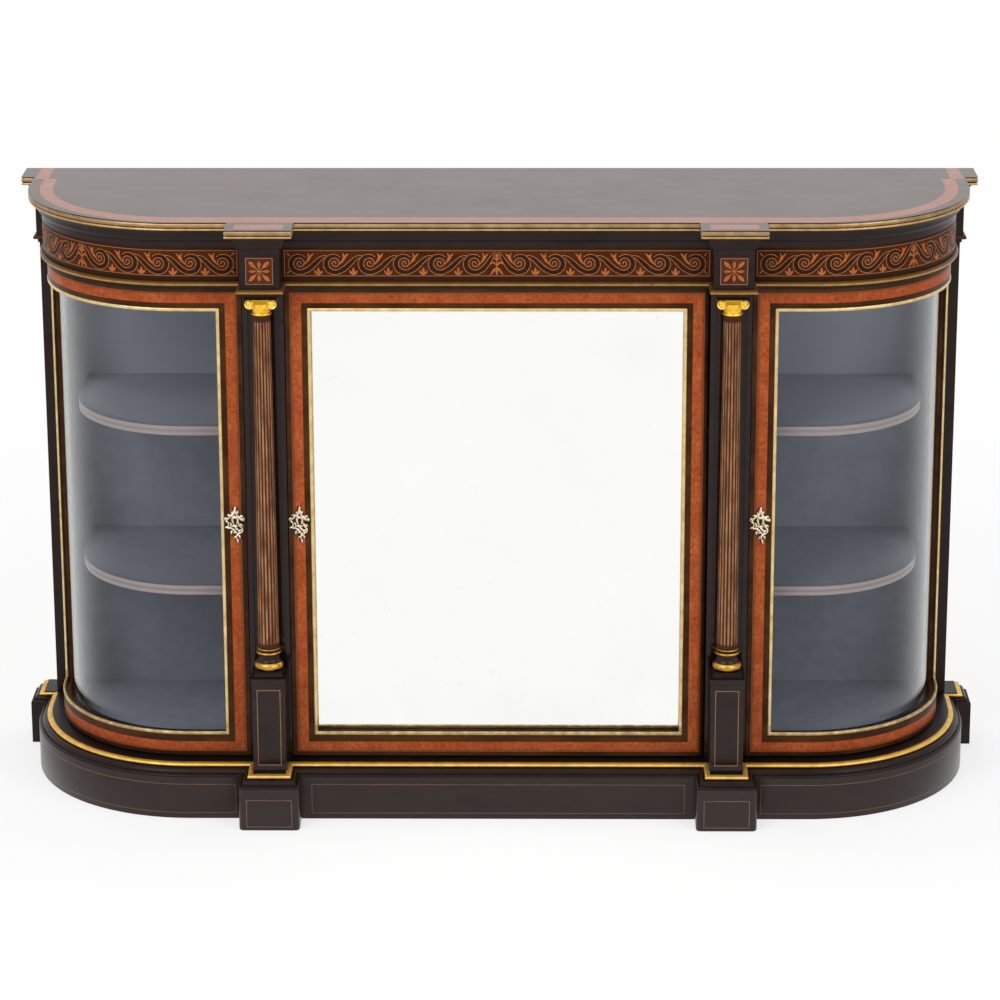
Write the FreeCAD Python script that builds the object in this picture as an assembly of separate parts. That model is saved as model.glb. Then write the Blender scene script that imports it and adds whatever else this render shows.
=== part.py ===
import FreeCAD, Part
import math
import os

# Driving dimensions in millimetres.
# X runs along the front, Y from the door faces (Y = 0) to the back, Z up from the floor.

# Plan of the cabinet
end_centre_x = 531.0  # middle of the cabinet to the centre of each bowed end
end_radius = 248.0  # outer face of the bowed doors
side_run = 68.0  # straight side between the bow and the rear stile
stile_depth = 56.0  # rear stile, front to back
stile_width = 38.0
stile_reach = 24.0  # how far the rear stile stands out past the bowed end
back_thickness = 10.0
column_x = 390.0  # middle of the cabinet to a column's axis
column_y = 31.0  # a column's axis in front of the door faces
block_projection = 55.0  # how far the blocks at the columns break forward

# Heights, from the floor up
plinth_height = 76.0
base_thickness = 20.0
bay_height = 836.5  # clear height of the cupboards
soffit_thickness = 12.5
frieze_height = 58.0
cornice_height = 37.0
top_thickness = 10.0

# Two courses that run round the cabinet: projection past the door faces, half width of the break
# at a column, reach past the rear stile's side
plinth_projection = 46.0
plinth_break_half = 52.0
plinth_reach = 47.0
frieze_projection = 6.0
frieze_break_half = 33.5
frieze_reach = 5.0
base_setback = 24.0  # face of the plinth to the edge of the base board
soffit_setback = 2.0  # face of the frieze to the edge of the carcase top
top_overhang = 22.0  # face of the frieze to the edge of the top
rear_step_share = 0.25  # how much of a projection shows in front of the rear stile

# Mouldings on those courses
plinth_bead_size = 9.0  # how far the bead stands out from the base board
plinth_bead_height = 7.0
plinth_lip_margin = 1.0  # ledge left in front of the bead
plinth_lip_height = 12.0
frieze_bead_size = 8.0
frieze_bead_height = 8.0
cornice_foot_size = 2.0
cornice_fillet_size = 8.0
cornice_head_margin = 5.0  # edge of the top to the cornice under it
cornice_ovolo_height = 9.0
cornice_fillet_height = 5.0
rim_size = 6.0
rim_height = 5.0
top_edge_round = 4.0
bead_edge_share = 0.35  # how much of a bead's size is left at its upper and lower edges
curve_steps = 5  # facets in a moulding's quarter round

# Rails and boards
plinth_rail_thickness = 20.0
plinth_block_depth = 72.0
plinth_block_round = 5.0
frieze_rail_thickness = 22.0
partition_thickness = 20.0
pilaster_width = 69.0
pilaster_depth = 38.0
pilaster_strip_width = 8.0
pilaster_recess = 8.0
back_rail_thickness = 20.0

# Doors
door_thickness = 26.0
door_foot_gap = 2.5
door_head_gap = 1.0
door_side_gap = 1.5
door_rear_gap = 7.0
door_stile_width = 37.0
door_top_rail = 34.0
door_bottom_rail = 37.5
slip_width = 6.0
slip_proud = 1.0
slip_depth = 4.0  # how far the gilt slip goes in behind the face of the frame
pane_setback = 18.0  # face of the frame to the face of the glass or mirror
glass_thickness = 3.0
mirror_thickness = 4.0
mirror_back_thickness = 4.0
pane_clearance = 0.5

# Pivots
pivot_radius = 4.0
pivot_clearance = 0.05
pivot_in_door = 20.0
pivot_in_carcase = 11.0
pivot_plate_length = 22.0
pivot_plate_width = 14.0
pivot_plate_thickness = 1.5

# Locks
lock_rise = 421.0  # foot of the door to the middle of its lock
lock_width = 33.0
lock_height = 60.0
lock_depth = 9.0
lock_edge_margin = 2.0  # edge of the door to the lock case
bolt_length = 29.0
bolt_height = 10.0
bolt_thickness = 5.0
bolt_wall = 2.0  # back of the stile to the bolt
bolt_clearance = 0.2
bolt_throw = 8.0
mortise_clearance = 0.6
escutcheon_width = 36.0
escutcheon_height = 62.0
escutcheon_waist = 26.0
escutcheon_thickness = 1.5
keyhole_radius = 2.6
keyhole_slot_width = 2.6
keyhole_slot_drop = 9.0

# Shelves
lower_shelf_rise = 296.0  # cupboard floor to the top of the shelf
upper_shelf_rise = 582.0
shelf_thickness = 16.0
shelf_setback = 19.0  # back of the doors to the shelf's front edge
shelf_gap = 0.5
bearer_height = 14.0
bearer_depth = 12.0
bearer_front_margin = 40.0
stop_width = 14.0
stop_depth = 12.0
stop_height = 16.0
stop_gap = 0.3

# Columns
pedestal_width = 56.0
pedestal_height = 165.0
pedestal_cap_height = 11.0
pedestal_cap_flare = 2.0
footing_width = 50.0
footing_height = 10.0
torus_radius = 25.0
torus_height = 16.0
scotia_radius = 17.5
scotia_height = 13.0
ring_radius = 21.5
ring_height = 10.0
shaft_bottom_radius = 18.5
shaft_top_radius = 15.0
flute_count = 18
flute_depth = 1.4
flute_land_share = 0.36  # part of each flute's pitch left as a flat land
neck_radius = 17.0
neck_height = 4.0
echinus_radius = 20.0
echinus_height = 8.0
volute_radius = 9.5
volute_spread = 21.0  # column axis to the eye of a volute
volute_length = 34.0
abacus_width = 58.0
abacus_depth = 44.0
capital_height = 33.0

# Derived levels and lines
plinth_top = plinth_height
base_top = plinth_top + base_thickness
soffit_bottom = base_top + bay_height
soffit_top = soffit_bottom + soffit_thickness
frieze_top = soffit_top + frieze_height
cornice_top = frieze_top + cornice_height
top_level = cornice_top + top_thickness
side_x = end_centre_x + end_radius
stile_front = end_radius + side_run
stile_outer = side_x + stile_reach
panel_front = stile_front + stile_depth
back_y = panel_front + back_thickness
door_bottom = base_top + door_foot_gap
door_top = soffit_bottom - door_head_gap
pane_bottom = door_bottom + door_bottom_rail
pane_top = door_top - door_top_rail
centre_half = column_x - pilaster_width / 2 - door_side_gap
side_door_start = column_x + pilaster_width / 2 + door_side_gap
side_door_end = stile_front - door_rear_gap
pivot_inset = door_thickness / 2
lock_level = door_bottom + lock_rise
column_foot = base_top + pedestal_height
plinth_front = -(plinth_projection + block_projection)
middle_y = (plinth_front + back_y) / 2


def vec(x, y, z=0.0):
    return FreeCAD.Vector(x, y, z)


def block(x0, x1, y0, y1, z0, z1):
    return Part.makeBox(x1 - x0, y1 - y0, z1 - z0, vec(x0, y0, z0))


def post(radius, x, y, z0, z1):
    return Part.makeCylinder(radius, z1 - z0, vec(x, y, z0), vec(0, 0, 1))


def mirrored(shape):
    return shape.mirror(vec(0, 0), vec(1, 0, 0))


def both_sides(shape):
    return Part.makeCompound([shape, mirrored(shape)])


def line(a, b):
    return Part.LineSegment(a, b).toShape()


def bow(radius, z=0.0, back=False):
    # Quarter round at the right end, from the front to the side, or the other way round.
    front = vec(end_centre_x, end_radius - radius, z)
    side = vec(end_centre_x + radius, end_radius, z)
    lean = radius * math.sqrt(0.5)
    middle = vec(end_centre_x + lean, end_radius - lean, z)
    ends = (side, front) if back else (front, side)
    return Part.Arc(ends[0], middle, ends[1]).toShape()


def plinth_course(out=0.0):
    return plinth_projection + out, plinth_break_half + out, plinth_reach + out


def base_course(out=0.0):
    return plinth_course(out - base_setback)


def frieze_course(out=0.0):
    return frieze_projection + out, frieze_break_half + out, frieze_reach + out


def soffit_course(out=0.0):
    return frieze_course(out - soffit_setback)


def top_course(out=0.0):
    return frieze_course(out + top_overhang)


def rear_line(projection):
    # Front of a course where it breaks out round the rear stile.
    return stile_front - rear_step_share * projection


def blend(course_a, course_b, share):
    return tuple(a + (b - a) * share for a, b in zip(course_a, course_b))


def right_half(course, z, back):
    # Edges of a course's outline from the middle of the front round to the middle of the back.
    projection, half, reach = course
    front = -projection
    block_front = front - block_projection
    side = side_x + projection
    rear_x = stile_outer + reach
    rear_y = rear_line(projection)
    inner, outer = column_x - half, column_x + half
    run = [vec(0, front, z), vec(inner, front, z), vec(inner, block_front, z)]
    run += [vec(outer, block_front, z), vec(outer, front, z), vec(end_centre_x, front, z)]
    edges = [line(a, b) for a, b in zip(run, run[1:])]
    edges.append(bow(end_radius + projection, z))
    run = [vec(side, end_radius, z), vec(side, rear_y, z), vec(rear_x, rear_y, z)]
    run += [vec(rear_x, back, z), vec(0, back, z)]
    return edges + [line(a, b) for a, b in zip(run, run[1:])]


def outline(course, z, back):
    right = right_half(course, z, back)
    left = [mirrored(edge) for edge in reversed(right)]
    return Part.Wire(Part.__sortEdges__(right + left))


def prism(course, z0, z1, back):
    return Part.Face(outline(course, z0, back)).extrude(vec(0, 0, z1 - z0))


def lofted(stations, back):
    # Solid through a list of (course, height) stations, with mitred breaks.
    return Part.makeLoft([outline(course, z, back) for course, z in stations], True, True)


def rise_then_run(lower, upper, z0, z1):
    # Quarter round that leaves the lower course upright and meets the upper course level.
    turns = [math.pi / 2 * i / curve_steps for i in range(curve_steps + 1)]
    return [(blend(lower, upper, 1 - math.cos(a)), z0 + (z1 - z0) * math.sin(a)) for a in turns]


def run_then_rise(lower, upper, z0, z1):
    turns = [math.pi / 2 * i / curve_steps for i in range(curve_steps + 1)]
    return [(blend(lower, upper, math.sin(a)), z0 + (z1 - z0) * (1 - math.cos(a))) for a in turns]


def bead(inner, outer, z0, z1):
    # Half-round strip planted on the edge of the inner course, open at the back.
    stations = []
    for i in range(2 * curve_steps + 1):
        swell = math.sin(math.pi * i / (2 * curve_steps))
        share = bead_edge_share + (1 - bead_edge_share) * swell
        stations.append((blend(inner, outer, share), z0 + (z1 - z0) * i / (2 * curve_steps)))
    return lofted(stations, panel_front).cut(prism(inner, z0, z1, back_y))


def bowed(outer, inner, z0, z1, start_x, end_y):
    # Curved strip of the right end between two offsets from the door face, from a place on the
    # front to a place on the side.
    edges = [
        line(vec(start_x, -outer), vec(end_centre_x, -outer)),
        bow(end_radius + outer),
        line(vec(side_x + outer, end_radius), vec(side_x + outer, end_y)),
        line(vec(side_x + outer, end_y), vec(side_x + inner, end_y)),
        line(vec(side_x + inner, end_y), vec(side_x + inner, end_radius)),
        bow(end_radius + inner, back=True),
        line(vec(end_centre_x, -inner), vec(start_x, -inner)),
        line(vec(start_x, -inner), vec(start_x, -outer)),
    ]
    strip = Part.Face(Part.Wire(edges)).extrude(vec(0, 0, z1 - z0))
    strip.translate(vec(0, 0, z0))
    return strip


# Base

def plinth_front_rail():
    half = column_x - plinth_break_half
    front = -plinth_projection
    return block(-half, half, front, front + plinth_rail_thickness, 0, plinth_top)


def plinth_end():
    start = column_x + plinth_break_half
    return bowed(plinth_projection, plinth_projection - plinth_rail_thickness, 0, plinth_top,
                 start, rear_line(plinth_projection))


def plinth_block():
    body = block(column_x - plinth_break_half, column_x + plinth_break_half, plinth_front,
                 plinth_front + plinth_block_depth, 0, plinth_top)
    corners = [edge for edge in body.Edges
               if edge.BoundBox.ZLength > 0.5 * plinth_height and edge.BoundBox.YMin < plinth_front + 1]
    return body.makeFillet(plinth_block_round, corners)


def rear_plinth_block():
    inner = side_x + plinth_projection - plinth_rail_thickness
    return block(inner, stile_outer + plinth_reach, rear_line(plinth_projection), back_y, 0, plinth_top)


def plinth_back_rail():
    half = side_x + plinth_projection - plinth_rail_thickness
    return block(-half, half, back_y - back_rail_thickness, back_y, 0, plinth_top)


def plinth_moulding():
    lip_top = plinth_top + plinth_lip_height
    lip = base_course(plinth_bead_size + plinth_lip_margin)
    stations = rise_then_run(plinth_course(), lip, plinth_top, lip_top)
    return lofted(stations, panel_front).cut(prism(base_course(), plinth_top, lip_top, back_y))


def plinth_bead():
    foot = plinth_top + plinth_lip_height
    return bead(base_course(), base_course(plinth_bead_size), foot, foot + plinth_bead_height)


def pivot_places():
    side = (side_x - pivot_inset, side_door_end - pivot_inset)
    return [side, (-side[0], side[1]), (centre_half - pivot_inset, pivot_inset)]


def pivot_plate_at(place, z0, z1):
    x, y = place
    half, deep = pivot_plate_length / 2, pivot_plate_width / 2
    if y > pivot_inset:
        half, deep = deep, half
    plate = block(x - half, x + half, y - deep, y + deep, z0, z1)
    return plate.cut(post(pivot_radius + pivot_clearance, x, y, z0, z1))


def pivot_plates():
    plates = []
    for place in pivot_places():
        plates.append(pivot_plate_at(place, base_top - pivot_plate_thickness, base_top))
        plates.append(pivot_plate_at(place, soffit_bottom, soffit_bottom + pivot_plate_thickness))
    return Part.makeCompound(plates)


def with_pivot_seats(board, face, inward):
    # Lets the pivot plates into a board's face and bores the holes behind them.
    for x, y in pivot_places():
        seat, depth = face + inward * pivot_plate_thickness, face + inward * pivot_in_carcase
        board = board.cut(pivot_plate_at((x, y), min(face, seat), max(face, seat)))
        board = board.cut(post(pivot_radius + pivot_clearance, x, y, min(face, depth), max(face, depth)))
    return board


def base_board():
    return with_pivot_seats(prism(base_course(), plinth_top, base_top, panel_front), base_top, -1)


# Carcase

def partition():
    half = partition_thickness / 2
    return block(column_x - half, column_x + half, pilaster_depth, panel_front, base_top, soffit_bottom)


def mortise(edge_x, inward):
    # Pocket in a pilaster's edge that takes a lock bolt.
    room = mortise_clearance
    y0 = door_thickness + bolt_wall
    reach = edge_x + inward * (bolt_throw + room)
    return block(min(edge_x, reach), max(edge_x, reach), y0 - room, y0 + bolt_thickness + room,
                 lock_level - bolt_height / 2 - room, lock_level + bolt_height / 2 + room)


def pilaster(locks_centre_door):
    inner, outer = column_x - pilaster_width / 2, column_x + pilaster_width / 2
    board = block(inner, outer, 0, pilaster_depth, base_top, soffit_bottom)
    recess = block(inner + pilaster_strip_width, outer - pilaster_strip_width, 0, pilaster_recess,
                   base_top, soffit_bottom)
    board = board.cut(recess).cut(mortise(outer, -1))
    return board.cut(mortise(inner, 1)) if locks_centre_door else board


def rear_stile():
    return block(stile_outer - stile_width, stile_outer, stile_front, panel_front, base_top, soffit_bottom)


def back_panels():
    centre = block(-column_x, column_x, panel_front, back_y, plinth_top, cornice_top)
    side = block(column_x, stile_outer, panel_front, back_y, plinth_top, cornice_top)
    return Part.makeCompound([mirrored(side), centre, side])


def shelf_levels():
    return [base_top + lower_shelf_rise, base_top + upper_shelf_rise]


def side_shelf(level):
    inset = door_thickness + shelf_setback
    left = column_x + partition_thickness / 2 + shelf_gap
    back = panel_front - shelf_gap
    right = side_x - inset
    corner_run = [vec(right, end_radius), vec(right, back), vec(left, back), vec(left, inset)]
    corner_run.append(vec(end_centre_x, inset))
    edges = [bow(end_radius - inset)] + [line(a, b) for a, b in zip(corner_run, corner_run[1:])]
    board = Part.Face(Part.Wire(edges)).extrude(vec(0, 0, shelf_thickness))
    board.translate(vec(0, 0, level - shelf_thickness))
    return board


def side_shelves():
    return Part.makeCompound([side_shelf(level) for level in shelf_levels()])


def centre_shelves():
    half = column_x - partition_thickness / 2 - shelf_gap
    front = door_thickness + shelf_setback
    return Part.makeCompound([block(-half, half, front, panel_front - shelf_gap, z - shelf_thickness, z)
                              for z in shelf_levels()])


def shelf_bearers():
    front = door_thickness + shelf_setback + bearer_front_margin
    inner, outer = column_x - partition_thickness / 2, column_x + partition_thickness / 2
    far = side_x - door_thickness - shelf_setback - bearer_front_margin
    battens = []
    for level in shelf_levels():
        z1 = level - shelf_thickness
        z0 = z1 - bearer_height
        battens.append(block(inner - bearer_depth, inner, front, panel_front, z0, z1))
        battens.append(block(outer, outer + bearer_depth, front, panel_front, z0, z1))
        battens.append(block(outer + bearer_depth, far, panel_front - bearer_depth, panel_front, z0, z1))
    return Part.makeCompound(battens + [mirrored(batten) for batten in battens])


def door_stops():
    # Blocks behind the lock stiles, at the floor and the ceiling of each cupboard.
    front = door_thickness + stop_gap
    side_mid = side_door_start + door_stile_width / 2
    centre_mid = -centre_half + door_stile_width / 2
    stops = []
    for x in (side_mid, -side_mid, centre_mid):
        x0, x1 = x - stop_width / 2, x + stop_width / 2
        stops.append(block(x0, x1, front, front + stop_depth, base_top, base_top + stop_height))
        stops.append(block(x0, x1, front, front + stop_depth, soffit_bottom - stop_height, soffit_bottom))
    return Part.makeCompound(stops)


def carcase_top():
    board = prism(soffit_course(), soffit_bottom, soffit_top, panel_front)
    return with_pivot_seats(board, soffit_bottom, 1)


# Frieze and top

def frieze_front_rail():
    half = column_x - frieze_break_half
    front = -frieze_projection
    return block(-half, half, front, front + frieze_rail_thickness, soffit_top, frieze_top)


def frieze_end():
    start = column_x + frieze_break_half
    return bowed(frieze_projection, frieze_projection - frieze_rail_thickness, soffit_top, frieze_top,
                 start, rear_line(frieze_projection))


def frieze_block():
    front = -frieze_projection
    return block(column_x - frieze_break_half, column_x + frieze_break_half, front - block_projection,
                 front + frieze_rail_thickness, soffit_top, frieze_top)


def rear_frieze_block():
    inner = side_x + frieze_projection - frieze_rail_thickness
    return block(inner, stile_outer + frieze_reach, rear_line(frieze_projection), panel_front,
                 soffit_top, frieze_top)


def frieze_bead():
    foot = soffit_top - frieze_bead_height
    return bead(soffit_course(), soffit_course(frieze_bead_size), foot, soffit_top)


def cornice_moulding():
    ovolo_top = frieze_top + cornice_ovolo_height
    fillet_top = ovolo_top + cornice_fillet_height
    foot, fillet = frieze_course(cornice_foot_size), frieze_course(cornice_fillet_size)
    stations = run_then_rise(foot, fillet, frieze_top, ovolo_top)
    stations += rise_then_run(fillet, top_course(-cornice_head_margin), fillet_top, cornice_top)
    hollow = frieze_course(-frieze_rail_thickness)
    return lofted(stations, panel_front).cut(prism(hollow, frieze_top, cornice_top, back_y))


def top_board():
    rim_top = cornice_top + rim_height
    seat = prism(top_course(-rim_size), cornice_top, rim_top, back_y)
    edge = rise_then_run(top_course(), top_course(-top_edge_round), rim_top, top_level)
    return seat.fuse(lofted(edge, back_y)).removeSplitter()


def top_rim():
    return bead(top_course(-rim_size), top_course(), cornice_top, cornice_top + rim_height)


# Columns

def pedestal():
    half = pedestal_width / 2
    cap_foot = column_foot - pedestal_cap_height
    die = block(column_x - half, column_x + half, -column_y - half, 0, base_top, cap_foot)
    sections = []
    for flare, z in ((0, cap_foot), (pedestal_cap_flare, column_foot)):
        x0, x1 = column_x - half - flare, column_x + half + flare
        y0 = -column_y - half - flare
        corners = [vec(x0, y0, z), vec(x1, y0, z), vec(x1, 0, z), vec(x0, 0, z), vec(x0, y0, z)]
        sections.append(Part.makePolygon(corners))
    return die.fuse(Part.makeLoft(sections, True, True)).removeSplitter()


def turned(profile):
    # Solid of revolution about the column's axis from (radius, height) points.
    points = [vec(column_x + r, -column_y, z) for r, z in profile]
    face = Part.Face(Part.makePolygon(points + points[:1]))
    return face.revolve(vec(column_x, -column_y), vec(0, 0, 1), 360)


def bulge(radius, z0, z1):
    # Half-round swelling between two heights, out to the given radius.
    swell = (z1 - z0) / 2
    turns = [math.pi * i / (2 * curve_steps) for i in range(2 * curve_steps + 1)]
    return [(radius - swell * (1 - math.sin(a)), z0 + swell * (1 - math.cos(a))) for a in turns]


def column_base():
    footing_top = column_foot + footing_height
    torus_top = footing_top + torus_height
    scotia_top = torus_top + scotia_height
    ring_top = scotia_top + ring_height
    half = footing_width / 2
    footing = block(column_x - half, column_x + half, -column_y - half, -column_y + half,
                    column_foot, footing_top)
    profile = [(0, footing_top)] + bulge(torus_radius, footing_top, torus_top)
    profile += [(scotia_radius, torus_top + scotia_height / 3), (scotia_radius, scotia_top)]
    profile += bulge(ring_radius, scotia_top, ring_top) + [(0, ring_top)]
    return footing.fuse(turned(profile))


shaft_foot = column_foot + footing_height + torus_height + scotia_height + ring_height
shaft_head = soffit_bottom - capital_height


def fluted_ring(radius, z):
    # Closed outline of flat lands and hollow flutes round the column's axis.
    def at(turn, r):
        return vec(column_x + r * math.cos(turn), r * math.sin(turn) - column_y, z)

    pitch = 2 * math.pi / flute_count
    edges = []
    for i in range(flute_count):
        start = i * pitch
        land_end = start + pitch * flute_land_share
        hollow = (land_end + start + pitch) / 2
        edges.append(line(at(start, radius), at(land_end, radius)))
        edges.append(Part.Arc(at(land_end, radius), at(hollow, radius - flute_depth),
                              at(start + pitch, radius)).toShape())
    return Part.Wire(edges)


def column_shaft():
    rings = [fluted_ring(shaft_bottom_radius, shaft_foot), fluted_ring(shaft_top_radius, shaft_head)]
    return Part.makeLoft(rings, True, True)


def capital():
    neck_top = shaft_head + neck_height
    echinus_top = neck_top + echinus_height
    profile = [(0, shaft_head)] + bulge(neck_radius, shaft_head, neck_top)
    profile += [(neck_radius, neck_top), (echinus_radius, echinus_top), (0, echinus_top)]
    body = turned(profile)
    eye = neck_top + volute_radius
    for side in (-1, 1):
        place = vec(column_x + side * volute_spread, -column_y - volute_length / 2, eye)
        body = body.fuse(Part.makeCylinder(volute_radius, volute_length, place, vec(0, 1, 0)))
    cushion_top = eye + volute_radius
    body = body.fuse(block(column_x - volute_spread, column_x + volute_spread,
                           -column_y - volute_length / 2, -column_y + volute_length / 2,
                           echinus_top, cushion_top))
    body = body.fuse(block(column_x - abacus_width / 2, column_x + abacus_width / 2,
                           -column_y - abacus_depth / 2, -column_y + abacus_depth / 2,
                           cushion_top, soffit_bottom))
    return body.removeSplitter()


# Doors

def keyhole(x, y0, y1):
    eye = Part.makeCylinder(keyhole_radius, y1 - y0, vec(x, y0, lock_level), vec(0, 1, 0))
    half = keyhole_slot_width / 2
    return eye.fuse(block(x - half, x + half, y0, y1, lock_level - keyhole_slot_drop, lock_level))


def escutcheon(x):
    # Waisted cartouche plate with a keyhole.
    half, tall = escutcheon_width / 2, escutcheon_height / 2
    lobes = []
    for rise in (-1, 1):
        centre = vec(x, -escutcheon_thickness, lock_level + rise * (tall - half))
        lobes.append(Part.makeCylinder(half, escutcheon_thickness, centre, vec(0, 1, 0)))
    waist = block(x - escutcheon_waist / 2, x + escutcheon_waist / 2, -escutcheon_thickness, 0,
                  lock_level - tall + half, lock_level + tall - half)
    plate = lobes[0].fuse(lobes[1]).fuse(waist).removeSplitter()
    return plate.cut(keyhole(x, -escutcheon_thickness, 0))


def bolt(edge_x, inward):
    # Lock bolt at rest, its tip level with the edge of the door.
    tail = edge_x + inward * bolt_length
    y0 = door_thickness + bolt_wall
    return block(min(edge_x, tail), max(edge_x, tail), y0, y0 + bolt_thickness,
                 lock_level - bolt_height / 2, lock_level + bolt_height / 2)


def lock_case(edge_x, inward):
    near = edge_x + inward * lock_edge_margin
    far = near + inward * lock_width
    case = block(min(near, far), max(near, far), door_thickness, door_thickness + lock_depth,
                 lock_level - lock_height / 2, lock_level + lock_height / 2)
    room = bolt_clearance
    tail = edge_x + inward * (bolt_length + room)
    y0 = door_thickness + bolt_wall
    channel = block(min(edge_x, tail), max(edge_x, tail), y0 - room, y0 + bolt_thickness + room,
                    lock_level - bolt_height / 2 - room, lock_level + bolt_height / 2 + room)
    return case.cut(channel)


def pivots(place):
    x, y = place
    foot = post(pivot_radius, x, y, base_top - pivot_in_carcase, door_bottom + pivot_in_door)
    head = post(pivot_radius, x, y, door_top - pivot_in_door, soffit_bottom + pivot_in_carcase)
    return Part.makeCompound([foot, head])


def bored_for_pivots(stile, place):
    x, y = place
    stile = stile.cut(post(pivot_radius, x, y, door_bottom, door_bottom + pivot_in_door))
    return stile.cut(post(pivot_radius, x, y, door_top - pivot_in_door, door_top))


def round_edge(place):
    x, y = place
    return post(pivot_inset, x, y, door_bottom, door_top)


# Side door, made at the right end

def side_lock_stile():
    return block(side_door_start, side_door_start + door_stile_width, 0, door_thickness,
                 door_bottom, door_top)


def side_hinge_stile():
    place = pivot_places()[0]
    body = block(side_x - door_thickness, side_x, side_door_end - door_stile_width, place[1],
                 door_bottom, door_top)
    return bored_for_pivots(body.fuse(round_edge(place)).removeSplitter(), place)


def side_rails():
    start = side_door_start + door_stile_width
    end = side_door_end - door_stile_width
    return Part.makeCompound([bowed(0, -door_thickness, z0, z1, start, end)
                              for z0, z1 in ((door_bottom, pane_bottom), (pane_top, door_top))])


def side_slip():
    start = side_door_start + door_stile_width
    end = side_door_end - door_stile_width
    frame = bowed(slip_proud, -slip_depth, pane_bottom, pane_top, start, end)
    sight = bowed(slip_proud, -slip_depth, pane_bottom + slip_width, pane_top - slip_width,
                  start + slip_width, end - slip_width)
    return frame.cut(sight)


def side_glass():
    start = side_door_start + door_stile_width + pane_clearance
    end = side_door_end - door_stile_width - pane_clearance
    return bowed(-pane_setback, -pane_setback - glass_thickness, pane_bottom + pane_clearance,
                 pane_top - pane_clearance, start, end)


# Centre door, locked at the left and hung at the right

def centre_lock_stile():
    return block(-centre_half, -centre_half + door_stile_width, 0, door_thickness, door_bottom, door_top)


def centre_hinge_stile():
    place = pivot_places()[2]
    body = block(centre_half - door_stile_width, place[0], 0, door_thickness, door_bottom, door_top)
    return bored_for_pivots(body.fuse(round_edge(place)).removeSplitter(), place)


def centre_opening(margin, y0, y1):
    half = centre_half - door_stile_width - margin
    return block(-half, half, y0, y1, pane_bottom + margin, pane_top - margin)


def centre_rails():
    half = centre_half - door_stile_width
    return Part.makeCompound([block(-half, half, 0, door_thickness, z0, z1)
                              for z0, z1 in ((door_bottom, pane_bottom), (pane_top, door_top))])


def centre_slip():
    sight = centre_opening(slip_width, -slip_proud, slip_depth)
    return centre_opening(0, -slip_proud, slip_depth).cut(sight)


def mirror_plate():
    return centre_opening(pane_clearance, pane_setback, pane_setback + mirror_thickness)


def mirror_back():
    front = pane_setback + mirror_thickness
    return centre_opening(pane_clearance, front, front + mirror_back_thickness)


def side_door_nodes(name, place_side):
    stile_middle = side_door_start + door_stile_width / 2
    pieces = {
        "lock_stile": side_lock_stile(),
        "hinge_stile": side_hinge_stile(),
        "rails": side_rails(),
        "slip": side_slip(),
        "glass": side_glass(),
        "escutcheon": escutcheon(stile_middle),
        "lock_case": lock_case(side_door_start, 1),
        "lock_bolt": bolt(side_door_start, 1),
        "pivots": pivots(pivot_places()[0]),
    }
    return {f"{name}_door_{piece}": place_side(shape) for piece, shape in pieces.items()}


def nodes():
    made = {
        "plinth_front_rail": plinth_front_rail(),
        "plinth_ends": both_sides(plinth_end()),
        "plinth_blocks": both_sides(plinth_block()),
        "rear_plinth_blocks": both_sides(rear_plinth_block()),
        "plinth_back_rail": plinth_back_rail(),
        "plinth_moulding": plinth_moulding(),
        "plinth_bead": plinth_bead(),
        "base_board": base_board(),
        "pivot_plates": pivot_plates(),
        "partitions": both_sides(partition()),
        "left_pilaster": mirrored(pilaster(True)),
        "right_pilaster": pilaster(False),
        "rear_stiles": both_sides(rear_stile()),
        "back_panels": back_panels(),
        "left_shelves": mirrored(side_shelves()),
        "centre_shelves": centre_shelves(),
        "right_shelves": side_shelves(),
        "shelf_bearers": shelf_bearers(),
        "door_stops": door_stops(),
        "carcase_top": carcase_top(),
        "frieze_front_rail": frieze_front_rail(),
        "frieze_ends": both_sides(frieze_end()),
        "frieze_blocks": both_sides(frieze_block()),
        "rear_frieze_blocks": both_sides(rear_frieze_block()),
        "frieze_bead": frieze_bead(),
        "cornice_moulding": cornice_moulding(),
        "top_rim": top_rim(),
        "top_board": top_board(),
        "pedestals": both_sides(pedestal()),
        "column_bases": both_sides(column_base()),
        "column_shafts": both_sides(column_shaft()),
        "capitals": both_sides(capital()),
        "centre_door_lock_stile": centre_lock_stile(),
        "centre_door_hinge_stile": centre_hinge_stile(),
        "centre_door_rails": centre_rails(),
        "centre_door_slip": centre_slip(),
        "mirror_plate": mirror_plate(),
        "mirror_back": mirror_back(),
        "centre_door_escutcheon": escutcheon(-centre_half + door_stile_width / 2),
        "centre_door_lock_case": lock_case(-centre_half, 1),
        "centre_door_lock_bolt": bolt(-centre_half, 1),
        "centre_door_pivots": pivots(pivot_places()[2]),
    }
    made.update(side_door_nodes("left", mirrored))
    made.update(side_door_nodes("right", lambda shape: shape))
    return made


os.makedirs("parts", exist_ok=True)
for node, shape in nodes().items():
    shape.translate(vec(0, -middle_y))
    shape.exportStep(f"parts/{node}.step")
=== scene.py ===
import bmesh
import bpy
import math
from mathutils import Matrix, Vector


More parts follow.
